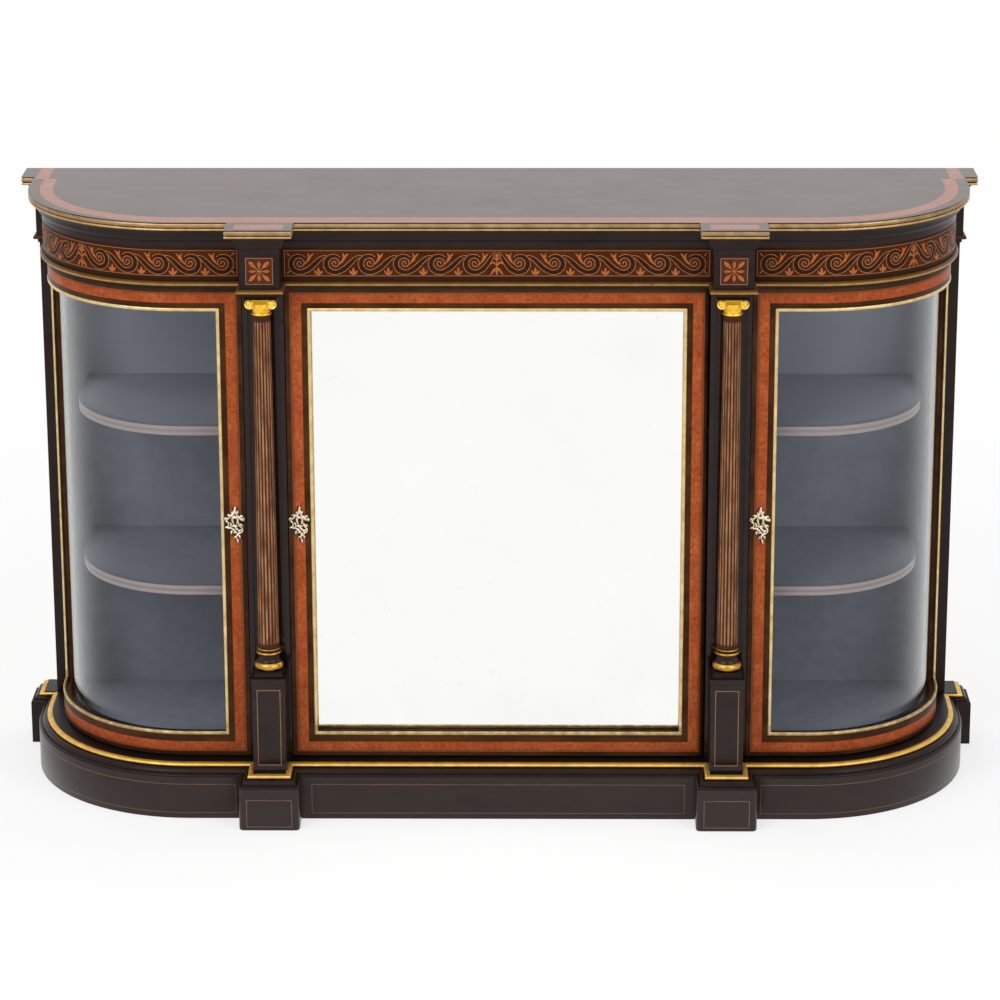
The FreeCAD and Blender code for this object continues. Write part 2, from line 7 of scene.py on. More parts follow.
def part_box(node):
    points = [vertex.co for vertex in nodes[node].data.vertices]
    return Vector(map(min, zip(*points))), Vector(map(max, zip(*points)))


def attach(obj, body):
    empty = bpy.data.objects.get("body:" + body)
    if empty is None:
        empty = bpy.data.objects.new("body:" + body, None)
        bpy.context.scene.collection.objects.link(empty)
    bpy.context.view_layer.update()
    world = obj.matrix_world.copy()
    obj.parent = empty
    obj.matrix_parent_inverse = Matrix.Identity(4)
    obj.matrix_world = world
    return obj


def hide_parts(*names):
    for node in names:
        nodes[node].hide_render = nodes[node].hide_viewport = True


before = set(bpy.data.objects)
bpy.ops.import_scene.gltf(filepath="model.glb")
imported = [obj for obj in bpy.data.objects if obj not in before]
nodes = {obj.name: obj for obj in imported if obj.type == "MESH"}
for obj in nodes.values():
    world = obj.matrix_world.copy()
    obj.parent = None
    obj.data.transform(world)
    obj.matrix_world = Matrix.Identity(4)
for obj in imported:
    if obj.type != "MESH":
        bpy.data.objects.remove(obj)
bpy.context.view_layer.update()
tiny = 1e-5  # places nearer than this count as one
weld = 1e-6  # corners nearer than this are joined


def levels(node):
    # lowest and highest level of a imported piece
    return [corner.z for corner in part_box(node)]


# lines of the carcase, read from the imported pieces
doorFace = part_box("centre_door_rails")[0].y
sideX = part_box("right_door_hinge_stile")[1].x
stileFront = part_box("rear_stiles")[0].y
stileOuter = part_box("rear_stiles")[1].x
panelFront, backFace = (corner.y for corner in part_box("back_panels"))
columnX = sum(corner.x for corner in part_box("right_pilaster")) / 2
columnY = sum(corner.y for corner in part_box("column_shafts")) / 2
plan = {
    "endRadius": 0.248, "blockOut": 0.055, "rearShare": 0.25, "arcSteps": 48, "drawnIn": 0.03,
    # a course: projection past the door faces, half width of the break at a column, reach past the rear stile
    "plinth": (0.046, 0.052, 0.047), "frieze": (0.006, 0.0335, 0.005),
    "baseIn": 0.024, "soffitIn": 0.002, "topOut": 0.022,
}
endX = sideX - plan["endRadius"]
endY = doorFace + plan["endRadius"]


def offsetCourse(course, out):
    return tuple(size + out for size in course)


plinthCourse, friezeCourse = plan["plinth"], plan["frieze"]
baseCourse = offsetCourse(plinthCourse, -plan["baseIn"])
soffitCourse = offsetCourse(friezeCourse, -plan["soffitIn"])
topCourse = offsetCourse(friezeCourse, plan["topOut"])


def tone(red, green, blue):
    # colour as it is seen on screen, 0 to 255
    seen = [channel / 255 for channel in (red, green, blue)]
    return tuple(c / 12.92 if c < 0.04045 else ((c + 0.055) / 1.055) ** 2.4 for c in seen) + (1.0,)


class Wire:  # a shader value; sums on it add Math nodes
    def __init__(self, owner, socket):
        self.owner = owner
        self.socket = socket

    def maths(self, operation, *values):
        return self.owner.node("ShaderNodeMath", {"operation": operation}, dict(enumerate(values)))

    def __add__(self, other):
        return self.maths("ADD", self, other)

    def __sub__(self, other):
        return self.maths("SUBTRACT", self, other)

    def __rsub__(self, other):
        return self.maths("SUBTRACT", other, self)

    def __mul__(self, other):
        return self.maths("MULTIPLY", self, other)

    def __truediv__(self, other):
        return self.maths("DIVIDE", self, other)

    def __abs__(self):
        return self.maths("ABSOLUTE", self)

    __radd__ = __add__
    __rmul__ = __mul__

    def least(self, other):
        return self.maths("MINIMUM", self, other)

    def most(self, other):
        return self.maths("MAXIMUM", self, other)

    def away(self, other):  # distance, from two lengths at right angles
        return self.maths("SQRT", self * self + other * other)

    def over(self, edge, soft=0.0002):  # 0 below the edge, 1 above it
        return self.owner.node("ShaderNodeMapRange", {}, {0: self, 1: edge - soft, 2: edge + soft})

    def under(self, edge, soft=0.0002):
        return 1 - self.over(edge, soft)

    def within(self, low, high, soft=0.0002):
        return self.over(low, soft) * self.under(high, soft)


class NodeTree:  # the nodes of a material or of the world
    def __init__(self, tree):
        self.tree = tree

    def node(self, kind, settings, inputs, output=0):
        made = self.tree.nodes.new(kind)
        for name, value in settings.items():
            setattr(made, name, value)
        for key, value in inputs.items():
            self.feed(made.inputs[key], value)
        return Wire(self, made.outputs[output])

    def feed(self, socket, value):
        if isinstance(value, Wire):
            self.tree.links.new(value.socket, socket)
        else:
            socket.default_value = value

    def ray(self, kind):
        return self.node("ShaderNodeLightPath", {}, {}, f"Is {kind} Ray")


class Finish(NodeTree):  # a material; values are named as the shader's sockets are
    def __init__(self, name, **values):
        self.material = bpy.data.materials.new(name)
        self.material.use_nodes = True
        super().__init__(self.material.node_tree)
        self.shader = self.tree.nodes["Principled BSDF"]
        self.set(**values)

    def set(self, **values):
        for name, value in values.items():
            self.feed(self.shader.inputs[name.replace("_", " ")], value)

    def surface(self, shader):
        self.feed(self.tree.nodes["Material Output"].inputs["Surface"], shader)

    def coords(self, kind="Object"):
        return self.node("ShaderNodeTexCoord", {}, {}, kind)

    def place(self, axes, kind="Object"):
        split = self.node("ShaderNodeSeparateXYZ", {}, {0: self.coords(kind)}).socket.node
        return [Wire(self, split.outputs[axis]) for axis in axes]

    def noise(self, scale, detail=4.0, stretch=(1.0, 1.0, 1.0), rough=0.55, seed=0.0):
        at = self.node("ShaderNodeMapping", {}, {"Vector": self.coords(), "Scale": stretch})
        return self.node("ShaderNodeTexNoise", {"noise_dimensions": "4D"},
                         {"Vector": at, "W": seed, "Scale": scale, "Detail": detail, "Roughness": rough})

    def cells(self, scale):
        return self.node("ShaderNodeTexVoronoi", {"feature": "F1"}, {"Vector": self.coords(), "Scale": scale})

    def mix(self, mask, first, second):
        return self.node("ShaderNodeMix", {"data_type": "RGBA"}, {0: mask, 6: first, 7: second}, 2)

    def bump(self, height, strength, distance=0.0005):
        self.set(Normal=self.node("ShaderNodeBump", {},
                                  {"Height": height, "Strength": strength, "Distance": distance}))

    def faceDepth(self):
        # how far a point lies behind the line of the door faces, also round the bowed ends
        x, y = self.place("XY")
        return plan["endRadius"] - (abs(x) - endX).most(0.0).away((endY - y).most(0.0))


# Finishes

ebonyLook = {
    "dark": tone(16, 12, 10), "brown": tone(32, 22, 18), "wear": tone(58, 40, 30),
    "string": tone(146, 106, 80), "gloss": 0.24, "specular": 0.22, "sheen": (1.0, 0.85, 0.82, 1.0),
}


def ebonyGround(finish, dark=ebonyLook["dark"], brown=ebonyLook["brown"]):
    # black polish over brown wood, rubbed thin here and there
    grain = finish.noise(26, 6, (0.35, 1.0, 1.0))
    rubbed = finish.noise(9, 5).over(0.56, 0.12)
    fleck = finish.noise(240, 2).over(0.72, 0.03)
    ground = finish.mix(grain.within(0.42, 0.62, 0.1), dark, brown)
    ground = finish.mix(rubbed * 0.25, ground, brown)
    return finish.mix(fleck * 0.5, ground, ebonyLook["wear"]), grain


def ebony(name, lines=None, shown=1.0, specular=ebonyLook["specular"], gloss=ebonyLook["gloss"]):
    # black polish, with strings let in that are more or less worn away
    finish = Finish(name, Specular_IOR_Level=specular, Specular_Tint=ebonyLook["sheen"])
    ground, grain = ebonyGround(finish)
    if lines:
        worn = shown * (0.7 + 0.3 * finish.noise(20, 3).over(0.5, 0.1))
        ground = finish.mix(lines(finish) * worn, ground, ebonyLook["string"])
    finish.set(Base_Color=ground, Roughness=gloss + gloss * 0.5 * finish.noise(14, 4))
    finish.bump(finish.noise(700, 2, (0.3, 1.0, 1.0)) * 0.4 + grain, 0.25 * gloss)
    return finish.material


def columnString(finish, piece, width=0.0006):
    # string rectangle about the middle of a column
    x, z = finish.place("XZ")
    across = abs(abs(x) - columnX)

    def rectangle(grow):
        up = z.within(piece["lineLow"] - grow, piece["lineHigh"] + grow)
        return across.under(piece["lineHalf"] + grow) * up

    return rectangle(width) * (1 - rectangle(-width))


burrLook = {
    "deep": tone(118, 46, 20), "mid": tone(162, 74, 36), "warm": tone(188, 98, 50), "eye": tone(92, 36, 16),
}


def burrGround(finish):
    # fine burr: clouds of orange and red, small dark eyes
    cloud = finish.noise(34, 5)
    curl = finish.noise(150, 6, rough=0.7)
    eyes = finish.cells(420)
    ground = finish.mix(cloud.over(0.5, 0.16), burrLook["mid"], burrLook["warm"])
    ground = finish.mix(curl.under(0.47, 0.12) * 0.75, ground, burrLook["deep"])
    return finish.mix(eyes.under(0.26, 0.14) * 0.35, ground, burrLook["eye"]), curl


doorFrame = {
    "edge": 0.0082, "string": 0.0092, "band": 0.0098, "bandEnd": 0.0276, "shaded": 0.0022, "front": 0.012,
    "brown": tone(72, 43, 20), "umber": tone(52, 30, 14), "line": tone(134, 92, 64),
    # painted shade, dark brown, round and between the cast scrolls of an escutcheon
    "escutcheonShade": 0.0125, "escutcheonShadeSoft": 0.003, "escutcheonShadeFlat": 0.5, "escutcheonShadeRise": -0.001, "escutcheonShadeShare": 0.8,
}
frameFoot, frameHead = levels("centre_door_lock_stile")
centreHalf = -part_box("centre_door_lock_stile")[0].x
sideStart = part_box("right_door_lock_stile")[0].x
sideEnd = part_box("right_door_hinge_stile")[1].y
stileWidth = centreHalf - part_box("centre_door_slip")[1].x
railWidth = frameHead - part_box("centre_door_slip")[1].z


def doorFrameFinish(name, centre):
    # brown edge, light string, burr band and brown inner edge, mitred all the way round a door
    finish = Finish(name, Specular_IOR_Level=0.06)
    x, y, z = finish.place("XYZ")
    up = (z - frameFoot).least(frameHead - z) * (stileWidth / railWidth)
    across = centreHalf - abs(x) if centre else (abs(x) - sideStart).least(sideEnd - y)
    edge = up.least(across)
    burr, curl = burrGround(finish)
    black, grain = ebonyGround(finish)
    front = finish.faceDepth().under(doorFrame["front"], 0.002)
    band = edge.within(doorFrame["band"], doorFrame["bandEnd"]) * front
    # painted shade: the burr darkens along its outer edge and over the rails
    shade = edge.under(doorFrame["band"] + doorFrame["shaded"], doorFrame["shaded"])
    railShade = (across - up).over(0.0)
    burr = finish.mix((shade * 0.6).most(railShade * 0.2), burr, burrLook["deep"])
    string = edge.within(doorFrame["edge"], doorFrame["string"])
    brown = finish.mix(grain.over(0.5, 0.1), doorFrame["brown"], doorFrame["umber"])
    ground = finish.mix(band, finish.mix(front, black, brown), burr)
    ground = finish.mix(string * front, ground, doorFrame["line"])
    # painted shade: a dark brown ellipse round the escutcheon
    low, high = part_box("centre_door_escutcheon" if centre else "right_door_escutcheon")
    middle = (low + high) / 2
    aside = (x if centre else abs(x)) - middle.x
    above = (z - (middle.z + doorFrame["escutcheonShadeRise"])) * doorFrame["escutcheonShadeFlat"]
    escutcheonShade = aside.away(above).under(doorFrame["escutcheonShade"], doorFrame["escutcheonShadeSoft"]) * doorFrame["escutcheonShadeShare"]
    ground = finish.mix(escutcheonShade, ground, doorFrame["umber"])
    finish.set(Base_Color=ground, Roughness=0.24 + 0.16 * finish.noise(18, 4))
    finish.bump(curl * band + grain * (1 - band), 0.07)
    return finish.material


def inlayFinish(name, pale, deep):
    # light wood let into the ground, with a little scorched shading
    finish = Finish(name, Specular_IOR_Level=0.04)
    grain = finish.noise(90, 5, (1.0, 1.0, 3.0))
    shade = finish.noise(420, 3)
    ground = finish.mix(grain.over(0.5, 0.18), pale, deep)
    finish.set(Base_Color=finish.mix(shade.over(0.58, 0.1) * 0.4, ground, deep), Roughness=0.38 + 0.1 * shade)
    finish.bump(shade, 0.08)
    return finish.material


giltLook = {"boleAndShade": tone(70, 34, 12)}


def gilding(name, bright, deep, wear=0.5, rough=0.3, darkenTest=None, metal=1.0):
    # leaf gilding, rubbed to the brown ground on its edges; the brown ground shows too where the given test
    # says, which on the frieze bead is painted shade
    finish = Finish(name, Specular_IOR_Level=0.2)
    cloud = finish.noise(55, 5)
    rubbed = finish.noise(130, 6, rough=0.65).over(0.74 - 0.16 * wear, 0.06)
    if darkenTest:
        rubbed = rubbed.most(darkenTest(finish))
    leaf = finish.mix(cloud.over(0.5, 0.2), bright + (1.0,), deep + (1.0,))
    finish.set(Base_Color=finish.mix(rubbed, leaf, giltLook["boleAndShade"]), Metallic=metal * (1 - rubbed),
               Roughness=rough + 0.18 * cloud)
    finish.bump(cloud + rubbed * 0.6, 0.12, 0.0004)
    return finish.material


def castBrass(name, pale, deep):
    # bright on the crests of the casting, with painted shade down its sides and tarnish in random patches
    finish = Finish(name, Metallic=1.0)
    tarnish = finish.noise(260, 5)
    # painted shade: faces turned away from the front go to dark brown
    sides = 1 - abs(finish.place("Y", "Normal")[0])
    brass = finish.mix(tarnish.over(0.52, 0.14), pale + (1.0,), deep + (1.0,))
    brass = finish.mix(sides.over(0.5, 0.3), brass, giltLook["boleAndShade"])
    finish.set(Base_Color=brass, Roughness=0.2 + 0.2 * tarnish)
    return finish.material


steelLook = {"bright": (0.42, 0.41, 0.39, 1.0), "rust": (0.16, 0.11, 0.08, 1.0)}


def oldSteel(name):
    finish = Finish(name, Metallic=1.0)
    spots = finish.noise(180, 5)
    steel = finish.mix(spots.over(0.56, 0.1), steelLook["bright"], steelLook["rust"])
    finish.set(Base_Color=steel, Roughness=0.35 + 0.25 * spots)
    return finish.material


liningLook = {
    "slate": tone(183, 183, 191), "shade": tone(169, 169, 177), "low": tone(135, 136, 144),
    # painted shade below this level
    "footShadeLevel": 0.65, "footShadeSoft": 0.13,
}


def liningGround(finish):
    # slate velvet, with painted shade making it darker towards the foot
    cloud = finish.noise(7, 4)
    nap = finish.noise(40, 4)
    dark = finish.place("Z")[0].under(liningLook["footShadeLevel"], liningLook["footShadeSoft"])
    ground = finish.mix(cloud.over(0.5, 0.2), liningLook["slate"], liningLook["shade"])
    ground = finish.mix(dark, ground, liningLook["low"])
    return finish.mix(nap.over(0.55, 0.15) * 0.25, ground, liningLook["shade"]), nap


def lining(name):
    finish = Finish(name, Specular_IOR_Level=0.1)
    ground, nap = liningGround(finish)
    finish.set(Base_Color=ground, Roughness=0.75 + 0.2 * nap)
    return finish.material


shelf = {
    "board": tone(104, 105, 111), "edge": tone(160, 144, 137), "thick": 0.016, "bead": 0.006, "groove": 0.004,
    # painted shade: a line behind the front edge, and the front dimmer than the back
    "front": 0.0462, "lip": 0.058, "edgeShadeSoft": 0.008, "edgeShadeShare": 0.55,
    "frontShade": 0.07, "frontShadeSoft": 0.12, "frontShadeShare": 0.48,
}


def shelfFinish(name):
    # lined boards with painted light and shade: dimmer towards the front than at the back, and a painted
    # shade line behind the front edge, with two pale beads along the front edge
    finish = Finish(name, Specular_IOR_Level=0.2)
    ground, nap = liningGround(finish)
    y, z = finish.place("YZ")
    depth = finish.faceDepth()
    frontShade = y.under(shelf["frontShade"], shelf["frontShadeSoft"])
    lip = depth.under(shelf["lip"], shelf["edgeShadeSoft"])
    ground = finish.mix(shelf["frontShadeShare"] * frontShade, ground, shelf["board"])
    ground = finish.mix(shelf["edgeShadeShare"] * lip, ground, shelf["board"])
    low, high = levels("right_shelves")
    beads = z.within(low, low + shelf["bead"])
    for top in (low + shelf["thick"], high):
        grooveLow = top - shelf["bead"] - shelf["groove"]
        beads = beads.most(z.within(top - shelf["bead"], top + 0.001))
        beads = beads.most(z.within(top - shelf["thick"], grooveLow))
    front = depth.under(shelf["front"], 0.0004)
    finish.set(Base_Color=finish.mix(front * (0.35 + 0.65 * beads), ground, shelf["edge"]), Roughness=0.6)
    finish.bump(nap, 0.05)
    return finish.material


pineLook = {
    "pale": tone(152, 114, 76), "dark": tone(112, 77, 47), "joint": tone(40, 25, 15), "board": 0.1338,
    "gap": 0.009, "stretch": (1.0, 1.0, 0.045), "edge": 0.002, "lined": 0.012,
}


def pineGround(finish, seed=0.0):
    # upright grain: broad rings, fine pores
    rings = finish.noise(48, 6, pineLook["stretch"], 0.6, seed)
    pores = finish.noise(480, 3, pineLook["stretch"], 0.6, seed)
    ground = finish.mix(rings.over(0.5, 0.2), pineLook["pale"], pineLook["dark"])
    return finish.mix(pores.over(0.56, 0.1) * 0.5, ground, pineLook["dark"]), rings


def pineBoards(finish):
    # boards side by side, each with its own grain and tone
    across = finish.place("X")[0] / pineLook["board"] + 0.5
    number = across.maths("FLOOR", across)
    ground = pineGround(finish, number * 3.7)[0]
    boardTone = finish.noise(1.0, 0.0, (0.0, 0.0, 0.0), 0.5, number * 5.3)
    ground = finish.mix(boardTone.over(0.5, 0.3) * 0.4, ground, pineLook["dark"])
    joint = 0.5 - abs(across - number - 0.5)
    return finish.mix(joint.under(pineLook["gap"], 0.004), ground, pineLook["joint"])


def pine(name):
    finish = Finish(name, Specular_IOR_Level=0.2)
    ground, rings = pineGround(finish)
    finish.set(Base_Color=ground, Roughness=0.7)
    finish.bump(rings, 0.15)
    return finish.material


def linedBoard(name, test):
    # lining where the test says, plain wood or black elsewhere
    finish = Finish(name, Specular_IOR_Level=0.25)
    inside, outer = test(finish)
    ground, nap = liningGround(finish)
    finish.set(Base_Color=finish.mix(inside, outer, ground), Roughness=0.4 + 0.4 * inside)
    finish.bump(nap, 0.05)
    return finish.material


def backBoardTest(finish):
    x, y = finish.place("XY")
    outer = finish.mix(abs(x).over(stileOuter - pineLook["edge"]), pineBoards(finish), ebonyLook["dark"])
    return y.under(panelFront + 0.002) * abs(x).under(stileOuter - pineLook["lined"]), outer


boardEdge = {"brown": tone(16, 10, 8), "black": tone(8, 5, 4), "depth": 0.027}


def cupboardFloorTest(finish):
    outer = finish.mix(finish.noise(30, 4).over(0.5, 0.2), boardEdge["brown"], boardEdge["black"])
    return finish.faceDepth().over(boardEdge["depth"]), outer


white = (1.0, 1.0, 1.0, 1.0)
glass = {
    # share of gloss seen straight on, then what smears and a glancing angle add
    "straight": 0.003, "smear": 0.004, "glancing": 0.95, "rough": 0.02, "tint": (0.95, 0.965, 0.975, 1.0),
}


def clearGlass(name):
    finish = Finish(name)
    clear = finish.node("ShaderNodeBsdfTransparent", {}, {"Color": glass["tint"]})
    shine = finish.node("ShaderNodeBsdfGlossy", {}, {"Color": white, "Roughness": glass["rough"]})
    facing = finish.node("ShaderNodeLayerWeight", {}, {"Blend": 0.5}, "Facing")
    smear = finish.noise(5, 4, (1.0, 1.0, 0.5)).over(0.5, 0.3)
    share = glass["straight"] + glass["smear"] * smear
    share = share + glass["glancing"] * facing.maths("POWER", facing, 4.0)
    finish.surface(finish.node("ShaderNodeMixShader", {}, {0: share, 1: clear, 2: shine}))
    return finish.material


mirrorLook = {
    "silver": (0.95, 0.95, 0.94, 1.0), "cloudy": (0.92, 0.92, 0.90, 1.0), "fox": (0.6, 0.56, 0.5, 1.0),
    "foxShare": 0.15, "rough": 0.015, "foxRough": 0.03,
}


def mirrorGlass(name):
    # silvering with a few faint cloudy patches
    finish = Finish(name, Metallic=1.0)
    cloud = finish.noise(6, 5)
    fox = finish.noise(60, 5).over(0.7, 0.05)
    silver = finish.mix(cloud.over(0.55, 0.2), mirrorLook["silver"], mirrorLook["cloudy"])
    silver = finish.mix(fox * mirrorLook["foxShare"], silver, mirrorLook["fox"])
    finish.set(Base_Color=silver, Roughness=mirrorLook["rough"] + mirrorLook["foxRough"] * fox)
    return finish.material


print("finishes ready")


# Modelling helpers

def deselect():
    bpy.ops.object.select_all(action="DESELECT")


def only(piece):
    deselect()
    piece.select_set(True)
    bpy.context.view_layer.objects.active = piece


def startPiece(addPrimitive, name, scale=(1, 1, 1), **shape):
    deselect()
    addPrimitive(**shape)
    piece = bpy.context.object
    piece.name = piece.data.name = name
    piece.scale = scale
    bpy.ops.object.transform_apply(location=True, rotation=True, scale=True)
    bpy.ops.object.mode_set(mode="EDIT")
    return piece


def boxPiece(name, low, high):
    size = [b - a for a, b in zip(low, high)]
    middle = [(a + b) / 2 for a, b in zip(low, high)]
    return startPiece(bpy.ops.mesh.primitive_cube_add, name, size=1, location=middle, scale=size)


def uprightSheet(name, y, startX, stopX, low, high):
    middle = ((startX + stopX) / 2, y, (low + high) / 2)
    size = (stopX - startX, high - low, 1)
    return startPiece(bpy.ops.mesh.primitive_plane_add, name, size=1, rotation=(math.pi / 2, 0, 0),
                      location=middle, scale=size)


def pick(piece, kind, test, sides=0):
    # parts whose corners and middle all pass the test, and faces with at least so many sides
    bpy.ops.mesh.select_mode(type=kind)
    bpy.ops.mesh.select_all(action="DESELECT")
    mesh = bmesh.from_edit_mesh(piece.data)
    for part in {"VERT": mesh.verts, "EDGE": mesh.edges, "FACE": mesh.faces}[kind]:
        corners = [part.co] if kind == "VERT" else [corner.co for corner in part.verts]
        middle = sum(corners, Vector()) / len(corners)
        if len(corners) >= sides and all(test(point) for point in corners + [middle]):
            part.select_set(True)
    mesh.select_flush_mode()
    bmesh.update_edit_mesh(piece.data)


def near(value, target):
    return abs(value - target) < tiny


def extrude(x, y, z):
    bpy.ops.mesh.extrude_region_move(TRANSFORM_OT_translate={"value": (x, y, z)})


def resize(centre, x, y, z):
    bpy.ops.transform.resize(value=(x, y, z), center_override=centre)


def aboutColumn(share):
    resize((columnX, columnY, 0), share, share, 1)


def bevelEdges(piece, test, width, segments):
    pick(piece, "EDGE", test)
    bpy.ops.mesh.bevel(offset=width, segments=segments, affect="EDGES", clamp_overlap=True)


def smooth(piece, angle):
    only(piece)
    bpy.ops.object.shade_smooth_by_angle(angle=math.radians(angle))


def faceOutwards():
    bpy.ops.mesh.select_all(action="SELECT")
    bpy.ops.mesh.normals_make_consistent(inside=False)


def closeEdit(piece, angle=30, outwards=True):
    bpy.ops.mesh.select_mode(type="VERT")
    bpy.ops.mesh.select_all(action="SELECT")
    bpy.ops.mesh.remove_doubles(threshold=weld)
    if outwards:
        faceOutwards()
    bpy.ops.object.mode_set(mode="OBJECT")
    smooth(piece, angle)


def modify(piece, kind, **settings):
    only(piece)
    modifier = piece.modifiers.new(kind.lower(), kind)
    for name, value in settings.items():
        setattr(modifier, name, value)
    bpy.ops.object.modifier_apply(modifier=modifier.name)


def copyPiece(piece, name, mirror=False):
    only(piece)
    bpy.ops.object.duplicate()
    copy = bpy.context.object
    copy.name = copy.data.name = name
    if mirror:
        copy.scale.x = -1
        bpy.ops.object.transform_apply(location=True, rotation=False, scale=True)
        bpy.ops.object.mode_set(mode="EDIT")
        faceOutwards()
        bpy.ops.object.mode_set(mode="OBJECT")
    return copy


def carry(piece, place):
    # takes every point to its place on the cabinet
    for vertex in piece.data.vertices:
        vertex.co = place(vertex.co)
    return piece


def joinPieces(parts, name):
    deselect()
    for part in parts:
        part.select_set(True)
    bpy.context.view_layer.objects.active = parts[0]
    bpy.ops.object.join()
    parts[0].name = parts[0].data.name = name
    return parts[0]


def dress(piece, finish):
    piece.data.materials.clear()
    piece.data.materials.append(finish)


def settle(piece, finish, slot, *replaced, body="cabinet"):
    if finish:
        dress(piece, finish)
    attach(piece, body)
    if replaced:
        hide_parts(*replaced)


def bothSides(piece, finish, slot, *replaced, body="cabinet"):
    # settles a right piece and its mirrored copy at the left; {side} in a name is filled in
    left = copyPiece(piece, piece.name.replace("right", "left"), mirror=True)
    for side, part in (("right", piece), ("left", left)):
        names = [node.format(side=side) for node in replaced]
        settle(part, finish, slot, *names, body=body.format(side=side))


def quarterSteps(steps):
    turns = [math.pi / 2 * i / steps for i in range(steps + 1)]
    return zip(turns, turns[1:])


def roundIn(run, rise, steps=4):
    # convex quarter round that starts upright
    return [(run * (math.cos(a) - math.cos(b)), rise * (math.sin(b) - math.sin(a)))
            for a, b in quarterSteps(steps)]


def hollowIn(run, rise, steps=4):
    # concave quarter round that starts level
    return [(run * (math.sin(b) - math.sin(a)), rise * (math.cos(a) - math.cos(b)))
            for a, b in quarterSteps(steps)]


# Courses that run round the cabinet

def courseSheet(name, course, level, back, downward=False):
    # flat outline with round ends, blocks at the columns and steps at the rear stiles
    projection, half, reach = course
    front, side = doorFace - projection, sideX + projection
    rear = stileFront - plan["rearShare"] * projection
    piece = startPiece(bpy.ops.mesh.primitive_plane_add, name, size=1,
                       location=(0, (front + back) / 2, level), scale=(2 * side, back - front, 1))
    pick(piece, "VERT", lambda co: near(co.y, front))
    bpy.ops.mesh.bevel(offset=plan["endRadius"] + projection, segments=plan["arcSteps"], affect="VERTICES")
    cuts = [((sign * (columnX + edge * half), 0, 0), (1, 0, 0)) for sign in (-1, 1) for edge in (-1, 1)]
    for point, normal in cuts + [((0, rear, 0), (0, 1, 0))]:
        bpy.ops.mesh.select_all(action="SELECT")
        bpy.ops.mesh.bisect(plane_co=point, plane_no=normal)
    pick(piece, "EDGE", lambda co: near(co.y, front) and abs(abs(co.x) - columnX) < half + tiny)
    extrude(0, -plan["blockOut"], 0)
    for sign in (-1, 1):
        pick(piece, "EDGE", lambda co: near(co.x, sign * side) and co.y > rear - tiny)
        extrude(sign * (stileOuter + reach - side), 0, 0)
    bpy.ops.mesh.select_mode(type="FACE")
    faceOutwards()
    bpy.ops.mesh.dissolve_limited(angle_limit=0.001)
    mesh = bmesh.from_edit_mesh(piece.data)
    mesh.faces.ensure_lookup_table()
    if (mesh.faces[0].normal.z < 0) != downward:
        bpy.ops.mesh.flip_normals()
    return piece


def stepFace(steps):
    # insets the chosen face and moves it along its normal, step by step
    for inward, rise in steps:
        bpy.ops.mesh.inset(thickness=max(inward, 1e-7), depth=rise, use_even_offset=True)


outlineSides = 30  # a course's own outline has more sides than this


def capAt(piece, level):
    # closes the open edge at a level and leaves the new face chosen
    pick(piece, "EDGE", lambda co: near(co.z, level))
    bpy.ops.mesh.edge_face_add()
    pick(piece, "FACE", lambda co: near(co.z, level), outlineSides)


def capUnder(piece, level):
    # closes it with a face that looks down
    capAt(piece, level)
    mesh = bmesh.from_edit_mesh(piece.data)
    chosen = [face for face in mesh.faces if face.select]
    if chosen and chosen[0].normal.z > 0:
        bpy.ops.mesh.flip_normals()


def squareBack(piece, back):
    # brings the rear edges, drawn in by the insets, back to the rear line
    pick(piece, "VERT", lambda co: back - plan["drawnIn"] < co.y < back)
    resize((0, back, 0), 1, 0, 1)


def hollowOut(piece, low, high, width):
    # opens a course into a ring of the given width
    pick(piece, "FACE", lambda co: near(co.z, low) or near(co.z, high), outlineSides)
    bpy.ops.mesh.inset(thickness=width, depth=0, use_even_offset=True, use_individual=True)
    bpy.ops.mesh.delete(type="FACE")
    mesh = bmesh.from_edit_mesh(piece.data)
    bpy.ops.mesh.select_mode(type="EDGE")
    bpy.ops.mesh.select_all(action="DESELECT")
    for edge in mesh.edges:
        edge.select_set(edge.is_boundary)
    bmesh.update_edit_mesh(piece.data)
    bpy.ops.mesh.bridge_edge_loops()


def closeRing(piece, low, high, width, angle=30):
    squareBack(piece, panelFront)
    hollowOut(piece, low, high, width)
    closeEdit(piece, angle)
    return piece


def beadCourse(name, outer, out, low, high, edgeShare=0.35):
    # half-round strip planted on the edge of a board
    middle, half = (low + high) / 2, (high - low) / 2
    piece = courseSheet(name, outer, middle, panelFront)
    stepFace(roundIn(out * (1 - edgeShare), half, 5))
    capUnder(piece, middle)
    stepFace(roundIn(out * (1 - edgeShare), half, 5))
    return closeRing(piece, low, high, out * edgeShare, 40)


topEdge = {"round": 0.0006, "steps": 2, "seat": 0.006, "rimRise": 0.0043, "bead": 0.0045}
rimFoot, rimHead = levels("top_rim")
rimHead += topEdge["rimRise"]
topLevel = levels("top_board")[1]


def makeTopBoard():
    piece = courseSheet("topBoard", topCourse, rimHead, backFace)
    stepFace(roundIn(topEdge["round"], topLevel - rimHead, topEdge["steps"]))
    capUnder(piece, rimHead)
    stepFace([(topEdge["seat"], 0.0)])
    extrude(0, 0, rimFoot - rimHead)
    squareBack(piece, backFace)
    closeEdit(piece, 35)
    modify(piece, "WEIGHTED_NORMAL", keep_sharp=True)
    return piece


cornice = {
    "head": 0.0035, "fascia": 0.004, "step": 0.0022, "cavetto": (0.0085, 0.0125), "fillet": 0.0026,
    "ovolo": (0.0052, 0.0072), "wall": 0.012,
}


